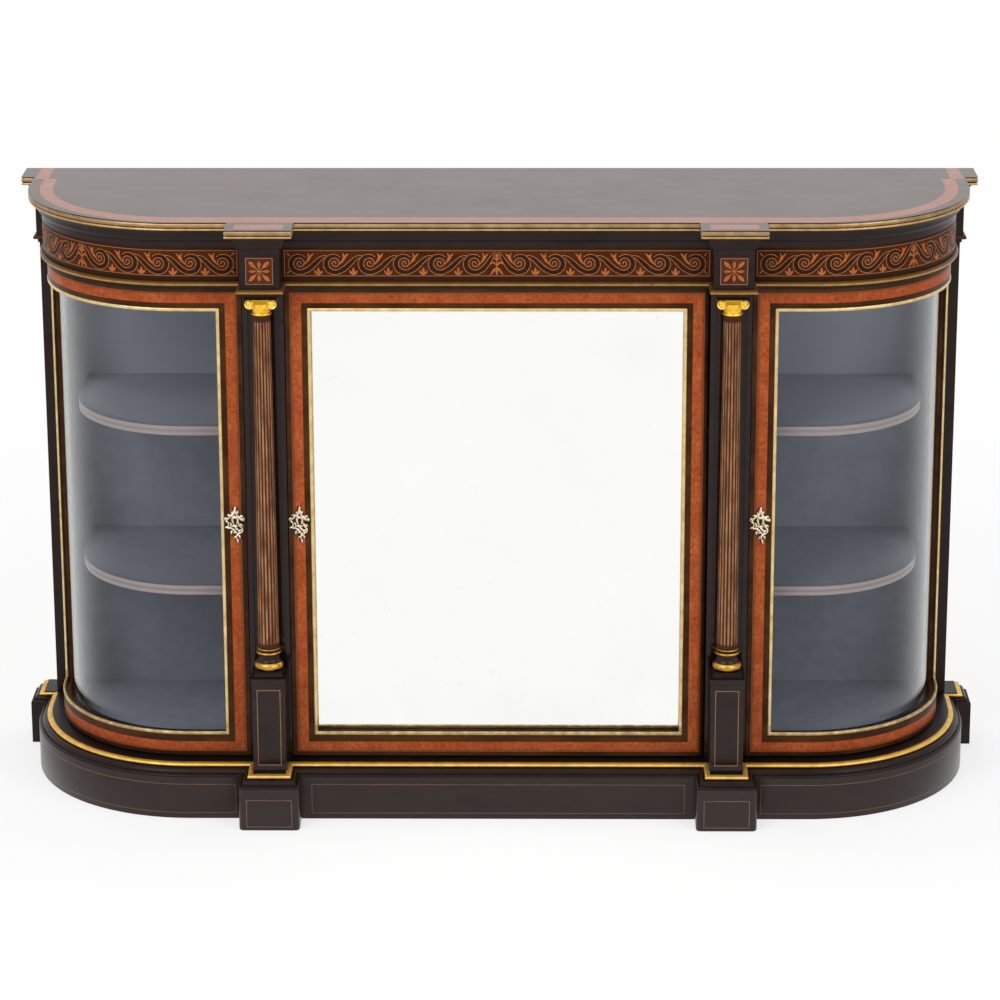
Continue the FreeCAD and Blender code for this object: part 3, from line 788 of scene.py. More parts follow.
def makeCornice():
    low, high = levels("cornice_moulding")
    piece = courseSheet("corniceMoulding", offsetCourse(topCourse, -cornice["head"]), high, panelFront, True)
    stepFace([(0.0, cornice["fascia"]), (cornice["step"], 0.0)])
    stepFace(hollowIn(*cornice["cavetto"], 5))
    extrude(0, 0, -cornice["fillet"])
    stepFace([(cornice["step"], 0.0)] + roundIn(*cornice["ovolo"]))
    drop = cornice["fascia"] + cornice["cavetto"][1] + cornice["fillet"] + cornice["ovolo"][1]
    extrude(0, 0, low - high + drop)
    capAt(piece, high)
    return closeRing(piece, low, high, cornice["wall"])


plinthLip = {
    "nose": (0.0035, 0.0042), "groove": [(0.0006, -0.0018), (0.0014, 0.0)], "swell": (0.0075, 0.0096),
    "wall": 0.008,
}


def makePlinthMoulding():
    low, high = levels("plinth_moulding")
    piece = courseSheet("plinthMoulding", plinthCourse, low, panelFront)
    stepFace(roundIn(*plinthLip["nose"]) + plinthLip["groove"] + roundIn(*plinthLip["swell"], 6))
    capUnder(piece, low)
    return closeRing(piece, low, high, plinthLip["wall"])


# where the gold gives way to brown: painted shade on the frieze bead, patches on the lower slips
giltDarkening = {
    "rear": 0.03, "beadTop": 0.0042, "beadSoft": 0.001, "beadShare": 0.85,
    "slipLevel": 0.155, "slipSoft": 0.002, "slipShare": 0.55,
}


def friezeBeadShade(finish):
    # painted shade in brown: no leaf on the returns round the rear stiles, little on the upper side
    y, z = finish.place("YZ")
    upper = z.over(levels("frieze_bead")[0] + giltDarkening["beadTop"], giltDarkening["beadSoft"])
    return y.over(stileFront - giltDarkening["rear"]).most(upper * giltDarkening["beadShare"])


def slipLost(finish):
    # brown ground in patches on the lower slips
    low = finish.place("Z")[0].under(giltDarkening["slipLevel"], giltDarkening["slipSoft"])
    return low * finish.noise(70, 4).over(0.44, 0.16) * giltDarkening["slipShare"]


gilt = gilding("rubbedGilding", (0.84, 0.53, 0.11), (0.60, 0.34, 0.06), wear=0.4, metal=0.7)
giltRim = gilding("rimGilding", (0.42, 0.29, 0.15), (0.26, 0.165, 0.07), rough=0.34)
giltRimBead = gilding("rimBeadGilding", (0.58, 0.39, 0.18), (0.38, 0.23, 0.09), rough=0.32)
giltFrieze = gilding("friezeGilding", (0.57, 0.32, 0.075), (0.37, 0.19, 0.03), 0.6, 0.26, friezeBeadShade)
giltBright = gilding("brightGilding", (1.0, 0.64, 0.065), (0.72, 0.39, 0.03), 0.15, 0.28)
# paler gold: painted highlight on the raised spirals of the volutes
giltSpiralHighlight = gilding("spiralHighlightGilding", (1.0, 0.72, 0.15), (0.94, 0.54, 0.06), 0.1, 0.26)
giltTorus = gilding("torusGilding", (0.62, 0.35, 0.06), (0.33, 0.17, 0.02), 0.45, 0.24)
# darker gold: painted shade in the sunk faces of the capital
giltHollowShade = gilding("hollowShadeGilding", (0.62, 0.31, 0.03), (0.42, 0.19, 0.015), wear=0.2)
giltSlip = gilding("slipGilding", (0.82, 0.64, 0.33), (0.54, 0.37, 0.14), wear=0.2, darkenTest=slipLost)
blackPolish = ebony("ebonyPolish")
quietBlack = ebony("ebonyQuiet", specular=0.1)

crossband = {
    "start": 0.0030, "end": 0.0390, "startIn": 0.017, "endIn": 0.003, "string": 0.0014, "rearOut": 0.016,
    "panelIn": 0.012, "panelDepth": 0.030, "panelHalf": 0.040, "rear": 0.02,
    "pale": tone(150, 88, 58), "deep": tone(116, 62, 38), "joint": tone(64, 36, 24),
    "dark": tone(24, 14, 10), "brown": tone(42, 25, 19),
    "specular": 0.31, "sheen": (1.0, 0.82, 0.78, 1.0),
    "coat": 0.35, "coatRough": 0.16, "coatTint": (1.0, 0.88, 0.84, 1.0),
}


def topFinish(name):
    # black polish inside a crossbanded border, with a small panel on each block
    finish = Finish(name, Specular_IOR_Level=crossband["specular"], Specular_Tint=crossband["sheen"],
                    Coat_Weight=crossband["coat"], Coat_Roughness=crossband["coatRough"],
                    Coat_Tint=crossband["coatTint"])
    x, y = finish.place("XY")
    front = doorFace - topCourse[0]
    rear = y.over(stileFront - crossband["rear"], 0.0005) * crossband["rearOut"]
    radius = plan["endRadius"] + topCourse[0]
    along = (front + radius - y).most(0.0)

    def inward(sideIn):
        # distance from the edge, drawn in at the sides
        return radius - (abs(x) - rear - (endX - sideIn)).most(0.0).away(along)

    outer, inner = inward(crossband["startIn"]), inward(crossband["endIn"])
    start, end, line = crossband["start"], crossband["end"], crossband["string"]
    band = outer.over(start) * inner.under(end)
    strings = outer.within(start - line, start) + inner.within(end, end + line)
    blockY = y - (front - plan["blockOut"])
    blockX = abs(abs(x) - columnX)
    panelEnd = crossband["panelIn"] + crossband["panelDepth"]
    panel = blockY.within(crossband["panelIn"], panelEnd) * blockX.under(crossband["panelHalf"])
    grain = finish.noise(60, 6, rough=0.7)
    veneer = finish.mix(grain.over(0.5, 0.16), crossband["pale"], crossband["deep"])
    black = ebonyGround(finish, crossband["dark"], crossband["brown"])[0]
    ground = finish.mix(band.most(panel), black, veneer)
    ground = finish.mix(strings, ground, crossband["joint"])
    finish.set(Base_Color=ground, Roughness=0.24 + 0.14 * finish.noise(10, 5))
    finish.bump(finish.noise(160, 4, (0.12, 1.0, 1.0)), 0.05)
    return finish.material


beadOut = {"rim": topEdge["seat"], "rimBead": 0.0045, "frieze": 0.008, "plinth": 0.009}
settle(makeTopBoard(), topFinish("polishedTop"), "ebonised", "top_board")
bead = beadCourse("topRim", topCourse, beadOut["rim"], rimFoot, rimHead)
settle(bead, giltRim, "gilding", "top_rim")
bead = beadCourse("topRimBead", topCourse, beadOut["rimBead"], rimFoot - topEdge["bead"], rimFoot)
settle(bead, giltRimBead, "gilding", "top_rim")
settle(makeCornice(), blackPolish, "ebonised", "cornice_moulding")
for name, course, node, finish in (("frieze", soffitCourse, "frieze_bead", giltFrieze),
                                   ("plinth", baseCourse, "plinth_bead", gilt)):
    out = beadOut[name]
    bead = beadCourse(name + "Bead", offsetCourse(course, out), out, *levels(node))
    settle(bead, finish, "gilding", node)
settle(makePlinthMoulding(), ebony("ebonyMoulding", specular=0.15), "ebonised", "plinth_moulding")
print("courses modelled")


# Bowed pieces of the right end, each with a mirrored copy at the left

def bowedSheet(name, outward, low, high, startX, stopY):
    # upright sheet along the front, round the bow and along the side
    piece = uprightSheet(name, doorFace - outward, startX, endX, low, high)
    pick(piece, "EDGE", lambda co: near(co.x, endX))
    bpy.ops.mesh.spin(steps=plan["arcSteps"], angle=-math.pi / 2, center=(endX, endY, 0), axis=(0, 0, 1))
    pick(piece, "EDGE", lambda co: near(co.y, endY) and co.x > endX)
    extrude(0, stopY - endY, 0)
    bpy.ops.mesh.select_all(action="SELECT")
    bpy.ops.mesh.remove_doubles(threshold=weld)
    faceOutwards()
    mesh = bmesh.from_edit_mesh(piece.data)
    front = min(mesh.faces, key=lambda face: face.calc_center_median().x)
    if front.normal.y > 0:
        bpy.ops.mesh.flip_normals()
    return piece


def thicken(piece, thickness, edge, segments=2):
    bpy.ops.object.mode_set(mode="OBJECT")
    modify(piece, "SOLIDIFY", thickness=thickness, offset=-1.0, use_even_offset=True)
    modify(piece, "BEVEL", width=edge, segments=segments, limit_method="ANGLE", angle_limit=math.radians(50))
    smooth(piece, 40)
    return piece


plinth = {
    "thick": 0.020, "edge": 0.0012, "borderIn": 0.009, "centreHalf": 0.320, "low": 0.0105, "high": 0.063,
    "line": 0.00048, "onFace": 0.002,
}
plinthHigh = levels("plinth_front_rail")[1]
plinthStart = columnX + plinthCourse[1]
plinthStop = stileFront - plan["rearShare"] * plinthCourse[0]


def courseBorder(finish, piece, projection, start, stop):
    # distance inside the border of each length of a course, and the string along that border
    x, y, z = finish.place("XYZ")
    alongEnd = (abs(x) - (start + piece["borderIn"])).least(stop - piece["borderIn"] - y)
    edge = (piece["centreHalf"] - abs(x)).most(alongEnd)
    edge = edge.least(z - piece["low"]).least(piece["high"] - z)
    onFace = finish.faceDepth().under(piece["onFace"] - projection)
    return edge, edge.within(-piece["line"], piece["line"]) * onFace


def plinthLines(finish):
    return courseBorder(finish, plinth, plinthCourse[0], plinthStart, plinthStop)[1]


plinthFinish = ebony("ebonyPlinth", plinthLines, shown=0.6, specular=0.42)
plinthEnd = bowedSheet("rightPlinthEnd", plinthCourse[0], 0.0, plinthHigh, plinthStart, plinthStop)
bothSides(thicken(plinthEnd, plinth["thick"], plinth["edge"]), plinthFinish, "ebonised", "plinth_ends")
dress(nodes["plinth_front_rail"], plinthFinish)

frieze = {
    "thick": 0.022, "edge": 0.0006, "borderIn": 0.0075, "centreHalf": 0.352, "low": 0.9545, "high": 0.9975,
    "line": 0.0006, "onFace": 0.002, "ground": tone(80, 37, 13), "shade": tone(58, 25, 8),
    "border": tone(50, 27, 14), "string": tone(140, 98, 68),
}
friezeLow, friezeHigh = levels("frieze_front_rail")
friezeFace = doorFace - friezeCourse[0]
friezeMiddle = (frieze["low"] + frieze["high"]) / 2
friezeStart = columnX + friezeCourse[1]
friezeStop = stileFront - plan["rearShare"] * friezeCourse[0]


def friezeGroundFinish(name):
    # dark rosewood field inside a string border and dark edges
    finish = Finish(name, Specular_IOR_Level=0.04)
    grain = finish.noise(60, 6, (0.3, 0.3, 2.4))
    field = finish.mix(grain.over(0.5, 0.16), frieze["ground"], frieze["shade"])
    edge, string = courseBorder(finish, frieze, friezeCourse[0], friezeStart, friezeStop)
    ground = finish.mix(edge.over(0.0), frieze["border"], field)
    ground = finish.mix(string, ground, frieze["string"])
    finish.set(Base_Color=ground, Roughness=0.3 + 0.12 * finish.noise(12, 4))
    finish.bump(grain, 0.06)
    return finish.material


friezeGround = friezeGroundFinish("rosewoodFrieze")
friezeEnd = bowedSheet("rightFriezeEnd", friezeCourse[0], friezeLow, friezeHigh, friezeStart, friezeStop)
bothSides(thicken(friezeEnd, frieze["thick"], frieze["edge"]), friezeGround, "marquetry", "frieze_ends")
dress(nodes["frieze_front_rail"], friezeGround)

door = {
    "thick": 0.026, "edge": 0.0007, "slipWidth": 0.006, "slipProud": 0.001, "slipThick": 0.005,
    "slipRound": 0.0018, "paneBack": 0.018, "glassThick": 0.003, "glassEdge": 0.0003,
}
sideFrame = doorFrameFinish("sideDoorFrame", False)
centreFrame = doorFrameFinish("centreDoorFrame", True)


def makeSlip(sheet):
    # leaves only the rim of a sheet and rounds it
    pick(sheet, "FACE", lambda co: True)
    bpy.ops.mesh.inset(thickness=door["slipWidth"], depth=0, use_even_offset=True)
    bpy.ops.mesh.delete(type="FACE")
    return thicken(sheet, door["slipThick"], door["slipRound"], 3)


railLow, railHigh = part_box("right_door_rails")
slipLow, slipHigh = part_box("right_door_slip")
paneLow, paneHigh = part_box("right_door_glass")
for name, low, high in (("rightDoorFootRail", railLow.z, slipLow.z),
                        ("rightDoorHeadRail", slipHigh.z, railHigh.z)):
    rail = bowedSheet(name, 0.0, low, high, railLow.x, railHigh.y)
    bothSides(thicken(rail, door["thick"], door["edge"]), sideFrame, "burr_veneer", "{side}_door_rails",
              body="{side}_door")
slip = bowedSheet("rightDoorSlip", door["slipProud"], slipLow.z, slipHigh.z, slipLow.x, slipHigh.y)
bothSides(makeSlip(slip), giltSlip, "gilding", "{side}_door_slip", body="{side}_door")
pane = bowedSheet("rightDoorGlass", -door["paneBack"], paneLow.z, paneHigh.z, paneLow.x, paneHigh.y)
bothSides(thicken(pane, door["glassThick"], door["glassEdge"], 1), clearGlass("bentGlass"), "bent_glass",
          "{side}_door_glass", body="{side}_door")
slipLow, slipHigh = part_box("centre_door_slip")
slip = uprightSheet("centreDoorSlip", slipLow.y, slipLow.x, slipHigh.x, slipLow.z, slipHigh.z)
settle(makeSlip(slip), giltSlip, "gilding", "centre_door_slip", body="centre_door")
print("bowed ends and slips modelled")


# Blocks, pedestals and columns of the right side, copied to the left

plinthBlock = {"round": 0.008, "foot": 0.003, "lineHalf": 0.0385, "lineLow": 0.0075, "lineHigh": 0.056}


def blockLines(finish):
    return columnString(finish, plinthBlock)


def columnBlock(name, half, front, back, low, high):
    return boxPiece(name, (columnX - half, front, low), (columnX + half, back, high))


blockFront = doorFace - plinthCourse[0] - plan["blockOut"]
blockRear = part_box("plinth_blocks")[1].y
block = columnBlock("rightPlinthBlock", plinthCourse[1], blockFront, blockRear, 0, plinthHigh)
for corner in (columnX - plinthCourse[1], columnX + plinthCourse[1]):
    bevelEdges(block, lambda co: near(co.y, blockFront) and near(co.x, corner), plinthBlock["round"], 4)
bevelEdges(block, lambda co: near(co.z, 0.0), plinthBlock["foot"], 2)
closeEdit(block)
bothSides(block, ebony("ebonyBlock", blockLines, shown=0.6, specular=0.46), "ebonised", "plinth_blocks")

pedestal = {
    "half": 0.028, "round": 0.0006, "lineHalf": 0.0195, "lineLow": 0.104, "lineHigh": 0.240, "onFace": 0.003,
    # heights of the mouldings, how far each one widens, and the share of that in depth
    "cap": (0.004, 0.004, 0.003), "foot": (0.004, 0.006), "widen": (1.02, 1.045, 1.0), "depthShare": 0.6,
}
pedestalLow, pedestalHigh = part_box("pedestals")
pedestalFront = columnY - pedestal["half"]
dieLow = pedestalLow.z + sum(pedestal["foot"])
dieHigh = pedestalHigh.z - sum(pedestal["cap"])


def pedestalLines(finish):
    onFace = finish.place("Y")[0].under(pedestalLow.y + pedestal["onFace"])
    return columnString(finish, pedestal) * onFace


die = columnBlock("rightPedestal", pedestal["half"], pedestalFront, pedestalHigh.y, dieLow, dieHigh)
bevelEdges(die, lambda co: near(co.y, pedestalFront), pedestal["round"], 2)
for level, facing, rises in ((dieHigh, 1, pedestal["cap"]), (dieLow, -1, pedestal["foot"])):
    pick(die, "FACE", lambda co: near(co.z, level))
    for rise, widen in zip(rises, pedestal["widen"]):
        extrude(0, 0, facing * rise)
        resize((columnX, pedestalHigh.y, 0), widen, 1 + (widen - 1) * pedestal["depthShare"], 1)
closeEdit(die)
bothSides(die, ebony("ebonyPedestal", pedestalLines, shown=0.95, specular=0.32), "ebonised", "pedestals")
print("blocks modelled")


def turnedPiece(name, stations, sides=56):
    # a round face drawn up and resized from station to station, (radius, height)
    radius, level = stations[0]
    piece = startPiece(bpy.ops.mesh.primitive_circle_add, name, vertices=sides, radius=radius,
                       location=(columnX, columnY, level), fill_type="NGON")
    for (radius, level), (nextRadius, nextLevel) in zip(stations, stations[1:]):
        extrude(0, 0, nextLevel - level)
        aboutColumn(nextRadius / radius)
    closeEdit(piece, 40)
    return piece


def swelling(radius, low, high, steps=6):
    # half-round stations out to a radius
    swell = (high - low) / 2
    turns = [math.pi * i / steps for i in range(steps + 1)]
    return [(radius - swell * (1 - math.sin(a)), low + swell * (1 - math.cos(a))) for a in turns]


# radii and heights above the foot of the column
columnBase = {
    "footing": (0.025, 0.003), "footingSteps": ((0.002, 0.95), (0.002, 0.94), (0.003, 0.97)),
    "torus": [(0.0165, 0.010)] + swelling(0.025, 0.010, 0.025, 8),
    "scotia": [(0.021, 0.025), (0.0185, 0.028), (0.0175, 0.032), (0.0182, 0.036), (0.0195, 0.039)],
    "ring": swelling(0.0215, 0.039, 0.0432),
    "neck": [(0.0190, 0.0432), (0.0184, 0.0450), (0.0190, 0.0468)],
    "fillet": swelling(0.0202, 0.0468, 0.049),
}
columnFoot = levels("column_bases")[0]
half, rise = columnBase["footing"]
footing = columnBlock("rightFooting", half, columnY - half, columnY + half, columnFoot, columnFoot + rise)
pick(footing, "FACE", lambda co: near(co.z, columnFoot + rise))
for step, share in columnBase["footingSteps"]:
    extrude(0, 0, step)
    aboutColumn(share)
closeEdit(footing)
bothSides(footing, quietBlack, "ebonised", "column_bases")
for name, finish, slot in (("torus", giltTorus, "gilding"), ("scotia", blackPolish, "ebonised"),
                           ("ring", giltTorus, "gilding"), ("neck", quietBlack, "ebonised"),
                           ("fillet", giltTorus, "gilding")):
    stations = [(radius, columnFoot + level) for radius, level in columnBase[name]]
    bothSides(turnedPiece("right" + name.capitalize(), stations), finish, slot, "column_bases")

shaft = {
    "flutes": 18, "perFlute": 8, "land": 2, "depth": 0.0014, "plainFoot": 0.006, "plainHead": 0.0125,
    "ease": 0.005, "foot": 0.0185, "head": 0.015,
    "gilt": tone(174, 126, 88), "rubbed": tone(110, 68, 42), "brown": tone(60, 32, 16),
    "giltDepth": 0.0007, "giltSoft": 0.0004, "giltMetal": 0.15,
}
shaftLow, shaftHigh = levels("column_shafts")
shaftTaper = (shaft["head"] - shaft["foot"]) / (shaftHigh - shaftLow)


def shaftRadius(level):
    return shaft["foot"] + (level - shaftLow) * shaftTaper


def makeShaft():
    count = shaft["flutes"] * shaft["perFlute"]
    span = shaft["perFlute"] - shaft["land"]
    fluteLow, fluteHigh = shaftLow + shaft["plainFoot"], shaftHigh - shaft["plainHead"]
    fluted = (fluteLow + shaft["ease"], fluteHigh - shaft["ease"])
    stations = [(shaftRadius(level), level) for level in (shaftLow, fluteLow, *fluted, fluteHigh, shaftHigh)]

    def hollow(co):
        # share of the depth at a point, nothing on the lands
        turn = math.atan2(co.y - columnY, co.x - columnX) / (2 * math.pi) * count
        step = round(turn) % shaft["perFlute"] - shaft["land"]
        return math.sin(math.pi * step / span) if step > 0 else 0.0

    piece = turnedPiece("rightShaft", stations, count)
    bpy.ops.object.mode_set(mode="EDIT")
    for level in fluted:
        for deep in [math.sin(math.pi * step / span) for step in range(1, span // 2 + 1)]:
            pick(piece, "VERT", lambda co: near(co.z, level) and abs(hollow(co) - deep) < 0.01)
            aboutColumn(1 - shaft["depth"] * deep / shaftRadius(level))
    closeEdit(piece, 60)
    return piece


def shaftFinish(name):
    # rubbed gilding in the flutes, brown black on the lands
    finish = Finish(name, Specular_IOR_Level=0.1)
    x, y, z = finish.place("XYZ")
    deep = shaftRadius(z) - (abs(x) - columnX).away(y - columnY)
    deep = deep.over(shaft["giltDepth"], shaft["giltSoft"])
    worn = finish.noise(70, 6, (1.0, 1.0, 0.25), 0.65)
    hollows = finish.mix(worn.over(0.5, 0.12), shaft["gilt"], shaft["rubbed"])
    finish.set(Base_Color=finish.mix(deep, shaft["brown"], hollows), Metallic=deep * shaft["giltMetal"],
               Roughness=0.34 + 0.16 * worn)
    finish.bump(worn, 0.1)
    return finish.material


bothSides(makeShaft(), shaftFinish("flutedShaft"), "ebonised", "column_shafts")
print("columns modelled")


# Strokes: tapering lines drawn flat, in millimetres across and up

def drawStroke(points, widths, finish, fine):
    curve = bpy.data.curves.new("stroke", "CURVE")
    curve.dimensions = "3D"
    curve.bevel_depth = 0.001
    curve.bevel_resolution = fine
    curve.use_fill_caps = True
    curve.resolution_u = 3 * fine
    spline = curve.splines.new("NURBS")
    last = len(points) - 1
    spline.points.add(last)
    for i, (across, up) in enumerate(points):
        at = i / last * (len(widths) - 1)
        low = min(int(at), len(widths) - 2)
        spline.points[i].co = (across / 1000, 0, up / 1000, 1)
        spline.points[i].radius = widths[low] + (widths[low + 1] - widths[low]) * (at - low)
    spline.order_u = 3
    spline.use_endpoint_u = True
    stroke = bpy.data.objects.new("stroke", curve)
    bpy.context.scene.collection.objects.link(stroke)
    only(stroke)
    bpy.ops.object.convert(target="MESH")
    dress(stroke, finish)
    return stroke


def drawMotif(name, strokes, depth, fine=1):
    # strokes joined into one relief, flattened to a share of their thickness
    motif = joinPieces([drawStroke(*stroke, fine) for stroke in strokes], name)
    motif.scale.y = depth
    only(motif)
    bpy.ops.object.transform_apply(location=False, rotation=False, scale=True)
    return motif


def copyMotif(motif, place):
    return carry(copyPiece(motif, "part"), place)


def closeMotif(motif, outwards=True):
    # joins the strokes' caps to their sides; strokes that aren't mirrored face outwards already
    only(motif)
    bpy.ops.object.mode_set(mode="EDIT")
    closeEdit(motif, 50, outwards)
    return motif


def movedBy(*offset):
    return lambda co: co + Vector(offset)


def polar(turn, radius):
    return radius * math.cos(math.radians(turn)), radius * math.sin(math.radians(turn))


def petal(turn, start, stop, wide, finish, shift=(0, 0)):
    # leaf from start to stop along a direction
    points = [polar(turn, start + (stop - start) * share) for share in (0, 0.25, 0.5, 0.75, 1)]
    points = [(x + shift[0], y + shift[1]) for x, y in points]
    return points, (wide * 0.25, wide * 0.6, wide, wide * 0.75, 0.1), finish


inlayLine = inlayFinish("inlayLine", tone(160, 108, 72), tone(134, 86, 54))
inlayLeaf = inlayFinish("inlayLeaf", tone(184, 110, 60), tone(142, 74, 36))
inlayEye = inlayFinish("inlayEye", tone(96, 44, 22), tone(70, 30, 16))
inlayRibbon = inlayFinish("inlayRibbon", tone(54, 29, 16), tone(42, 22, 11))
scroll = {
    "line": 0.72, "spiral": 0.95, "proud": 0.22, "ribbonProud": 0.03,
    # pitch of the waves, distance of the first from the flower, how many
    "front": (58.0, 36.6, 6), "end": (53.6, 40.0, 5),
    # direction from the eye, distance of the ribbon's inner and outer edge
    "bands": ((50, 8.2, 14.0), (90, 9.0, 15.4), (135, 9.7, 17.6), (180, 10.4, 19.4), (225, 10.9, 20.0),
              (270, 11.4, 19.6), (300, 12.0, 19.8)),
    "eye": ((-420, 1.2), (-330, 2.2), (-240, 3.6), (-165, 4.6), (-90, 5.6), (0, 7.3), (50, 8.2)),
    # the tail that runs up to the next scroll: shares of the pitch, heights
    "tail": ((0.26, -5.0, 0.33, -12.5), (0.405, 3.5, 0.485, -3.5), (0.55, 10.3, 0.60, 4.2),
             (0.68, 13.6, 0.68, 8.6), (0.775, 13.2, 0.71, 9.4)),
    "lastTail": ((0.36, -5.0, 0.48, -12.5), (0.55, 4.0, 0.66, -3.5), (0.71, 12.0, 0.79, 5.5),
                 (0.85, 17.0, 0.86, 11.5), (0.95, 18.8, 0.90, 15.5)),
    # leaves on a wave, and the trefoil under its tail: direction and length of each leaf
    "leaves": (([(7.5, -2.0), (12.5, 3.0), (15.5, 8.5), (18.5, 13.0), (23.0, 16.8)],
                (0.6, 2.0, 2.6, 2.1, 0.3)),
               ([(12.5, 3.5), (15.0, 9.5), (14.8, 13.5), (12.8, 17.6)], (0.5, 1.6, 1.8, 0.3))),
    "trefoil": ((90, 14.0), (130, 11.0), (50, 11.0)), "trefoilWide": 2.4, "trefoilIn": 0.5,
    "trefoilAt": (0.53, -20.8),
    # flower in the middle of a panel: direction, start, end and width of two petals, then the stem and
    # its side leaves, drawn for one half
    "headPetal": (90, 6, 18, 3.0), "footPetal": (90, 0, 13, 2.6), "footAt": (0, -20),
    "stem": ([(0, -19), (0, 0), (0, 9)], (1.2, 1.0, 0.7)),
    "sideLeaves": (([(0, 4), (3, 8), (6, 10)], (0.6, 1.9, 0.4)),
                   ([(0, -4), (4, 1), (8, 2), (10.5, -2)], (0.7, 2.1, 1.7, 0.4)),
                   ([(0, -8), (4, -10), (6.5, -14.5), (11, -20)], (0.7, 2.2, 2.4, 0.5))),
    # bud in a corner at the end of a panel
    "bud": ([(9.0, 12.5), (6.4, 15.2), (3.8, 18.0)], (0.5, 1.8, 0.4)),
}


def betweenStations(stations, step=18):
    # stations with others put in between, the first number going by steps
    filled = []
    for low, high in zip(stations, stations[1:]):
        count = max(1, round(abs(high[0] - low[0]) / step))
        filled += [[a + (b - a) * i / count for a, b in zip(low, high)] for i in range(count)]
    return filled + [list(stations[-1])]


def drawWave(name, pitch, last=False):
    # one wave of the running scroll: ribbon, its two edges, eye, leaves and trefoil
    bands = betweenStations(scroll["bands"])
    inner = [polar(turn, close) for turn, close, far in bands]
    outer = [polar(turn, far) for turn, close, far in bands]
    for innerX, innerUp, outerX, outerUp in scroll["lastTail" if last else "tail"]:
        inner.append((innerX * pitch, innerUp))
        outer.append((outerX * pitch, outerUp))
    middle = [((a + c) / 2, (b + d) / 2) for (a, b), (c, d) in zip(inner, outer)]
    widths = [math.dist(a, b) / 2 for a, b in zip(inner, outer)]
    ribbon = drawMotif("ribbon", [(middle, widths, inlayRibbon)], scroll["ribbonProud"])
    line, thick = scroll["line"], scroll["spiral"]
    eye = [polar(turn, radius) for turn, radius in betweenStations(scroll["eye"])]
    strokes = [(outer, (line, line), inlayLine), (eye[:-1] + inner, (thick, thick, line), inlayLine)]
    strokes += [(*leaf, inlayLeaf) for leaf in scroll["leaves"]]
    if not last:
        across, up = scroll["trefoilAt"]
        inside, wide = scroll["trefoilIn"], scroll["trefoilWide"]
        strokes += [petal(turn, inside, far, wide, inlayLeaf, (pitch * across, up))
                    for turn, far in scroll["trefoil"]]
    return joinPieces([drawMotif(name, strokes, scroll["proud"]), ribbon], name)


def flowerStrokes():
    strokes = [petal(*scroll["headPetal"], inlayLeaf), (*scroll["stem"], inlayLeaf),
               petal(*scroll["footPetal"], inlayLeaf, scroll["footAt"])]
    for side in (-1, 1):
        strokes += [([(side * x, y) for x, y in points], widths, inlayLeaf)
                    for points, widths in scroll["sideLeaves"]]
    return strokes


def budStrokes():
    points, widths = scroll["bud"]
    return [([(x, y * side) for x, y in points], widths, inlayLeaf) for side in (-1, 1)]


def onFront(middle, side):
    # a motif's place on the straight front, turned round for the right half
    return lambda co: Vector((middle + side * co.x, friezeFace + co.y, friezeMiddle + co.z))


friezeRadius = plan["endRadius"] + friezeCourse[0]
friezeStraight = endX - friezeStart


def onEnd(middle, side):
    # a motif's place on the right end, a distance along from the block
    def place(co):
        along = middle + side * co.x - friezeStraight
        if along < 0:
            return Vector((endX + along, friezeFace + co.y, friezeMiddle + co.z))
        turn = min(along / friezeRadius, math.pi / 2)
        past = max(along - friezeRadius * math.pi / 2, 0.0)
        out = friezeRadius - co.y
        return Vector((endX + out * math.sin(turn), endY - out * math.cos(turn) + past, friezeMiddle + co.z))

    return place


def layScrolls(name, waves, middle, reach, placer):
    # waves run from both ends of a panel to the flower in its middle
    pitch, first, count = waves
    wave, lastWave = drawWave("wave", pitch), drawWave("lastWave", first, True)
    flower = drawMotif("flower", flowerStrokes(), scroll["proud"])
    buds = drawMotif("buds", budStrokes(), scroll["proud"])
    parts = [copyMotif(flower, placer(middle, 1))]
    for side in (-1, 1):
        parts.append(copyMotif(buds, placer(middle + side * reach, -side)))
    for i in range(count):
        for side in (-1, 1):
            away = (first + pitch * i) / 1000
            parts.append(copyMotif(wave if i else lastWave, placer(middle + side * away, -side)))
    for motif in (wave, lastWave, flower, buds):
        bpy.data.objects.remove(motif)
    return closeMotif(joinPieces(parts, name))


endMiddle = (friezeStraight + friezeRadius * math.pi / 2 + friezeStop - endY) / 2
frontInlay = layScrolls("centreFriezeInlay", scroll["front"], 0.0, frieze["centreHalf"], onFront)
settle(frontInlay, None, "marquetry")
endInlay = layScrolls("rightFriezeInlay", scroll["end"], endMiddle, endMiddle - frieze["borderIn"], onEnd)
bothSides(endInlay, None, "marquetry")

flowerBlock = {
    "round": 0.0008, "half": 0.0220, "line": 0.0006, "onFace": 0.001, "proud": 0.1, "eyeProud": 0.45,
    # length and width of a petal, place of its eye; corner petals and the short ones between
    "corner": (24.0, 4.1, 16.6), "between": (17.0, 3.0, 12.2), "eye": 2.2, "eyeWide": 1.0,
    "along": (0, 0.34, 0.46, 0.7, 0.86, 1), "stem": (0.45, 0.5), "swell": (0.6, 1.0, 0.7), "tip": 0.2,
}
blockFace = friezeFace - plan["blockOut"]


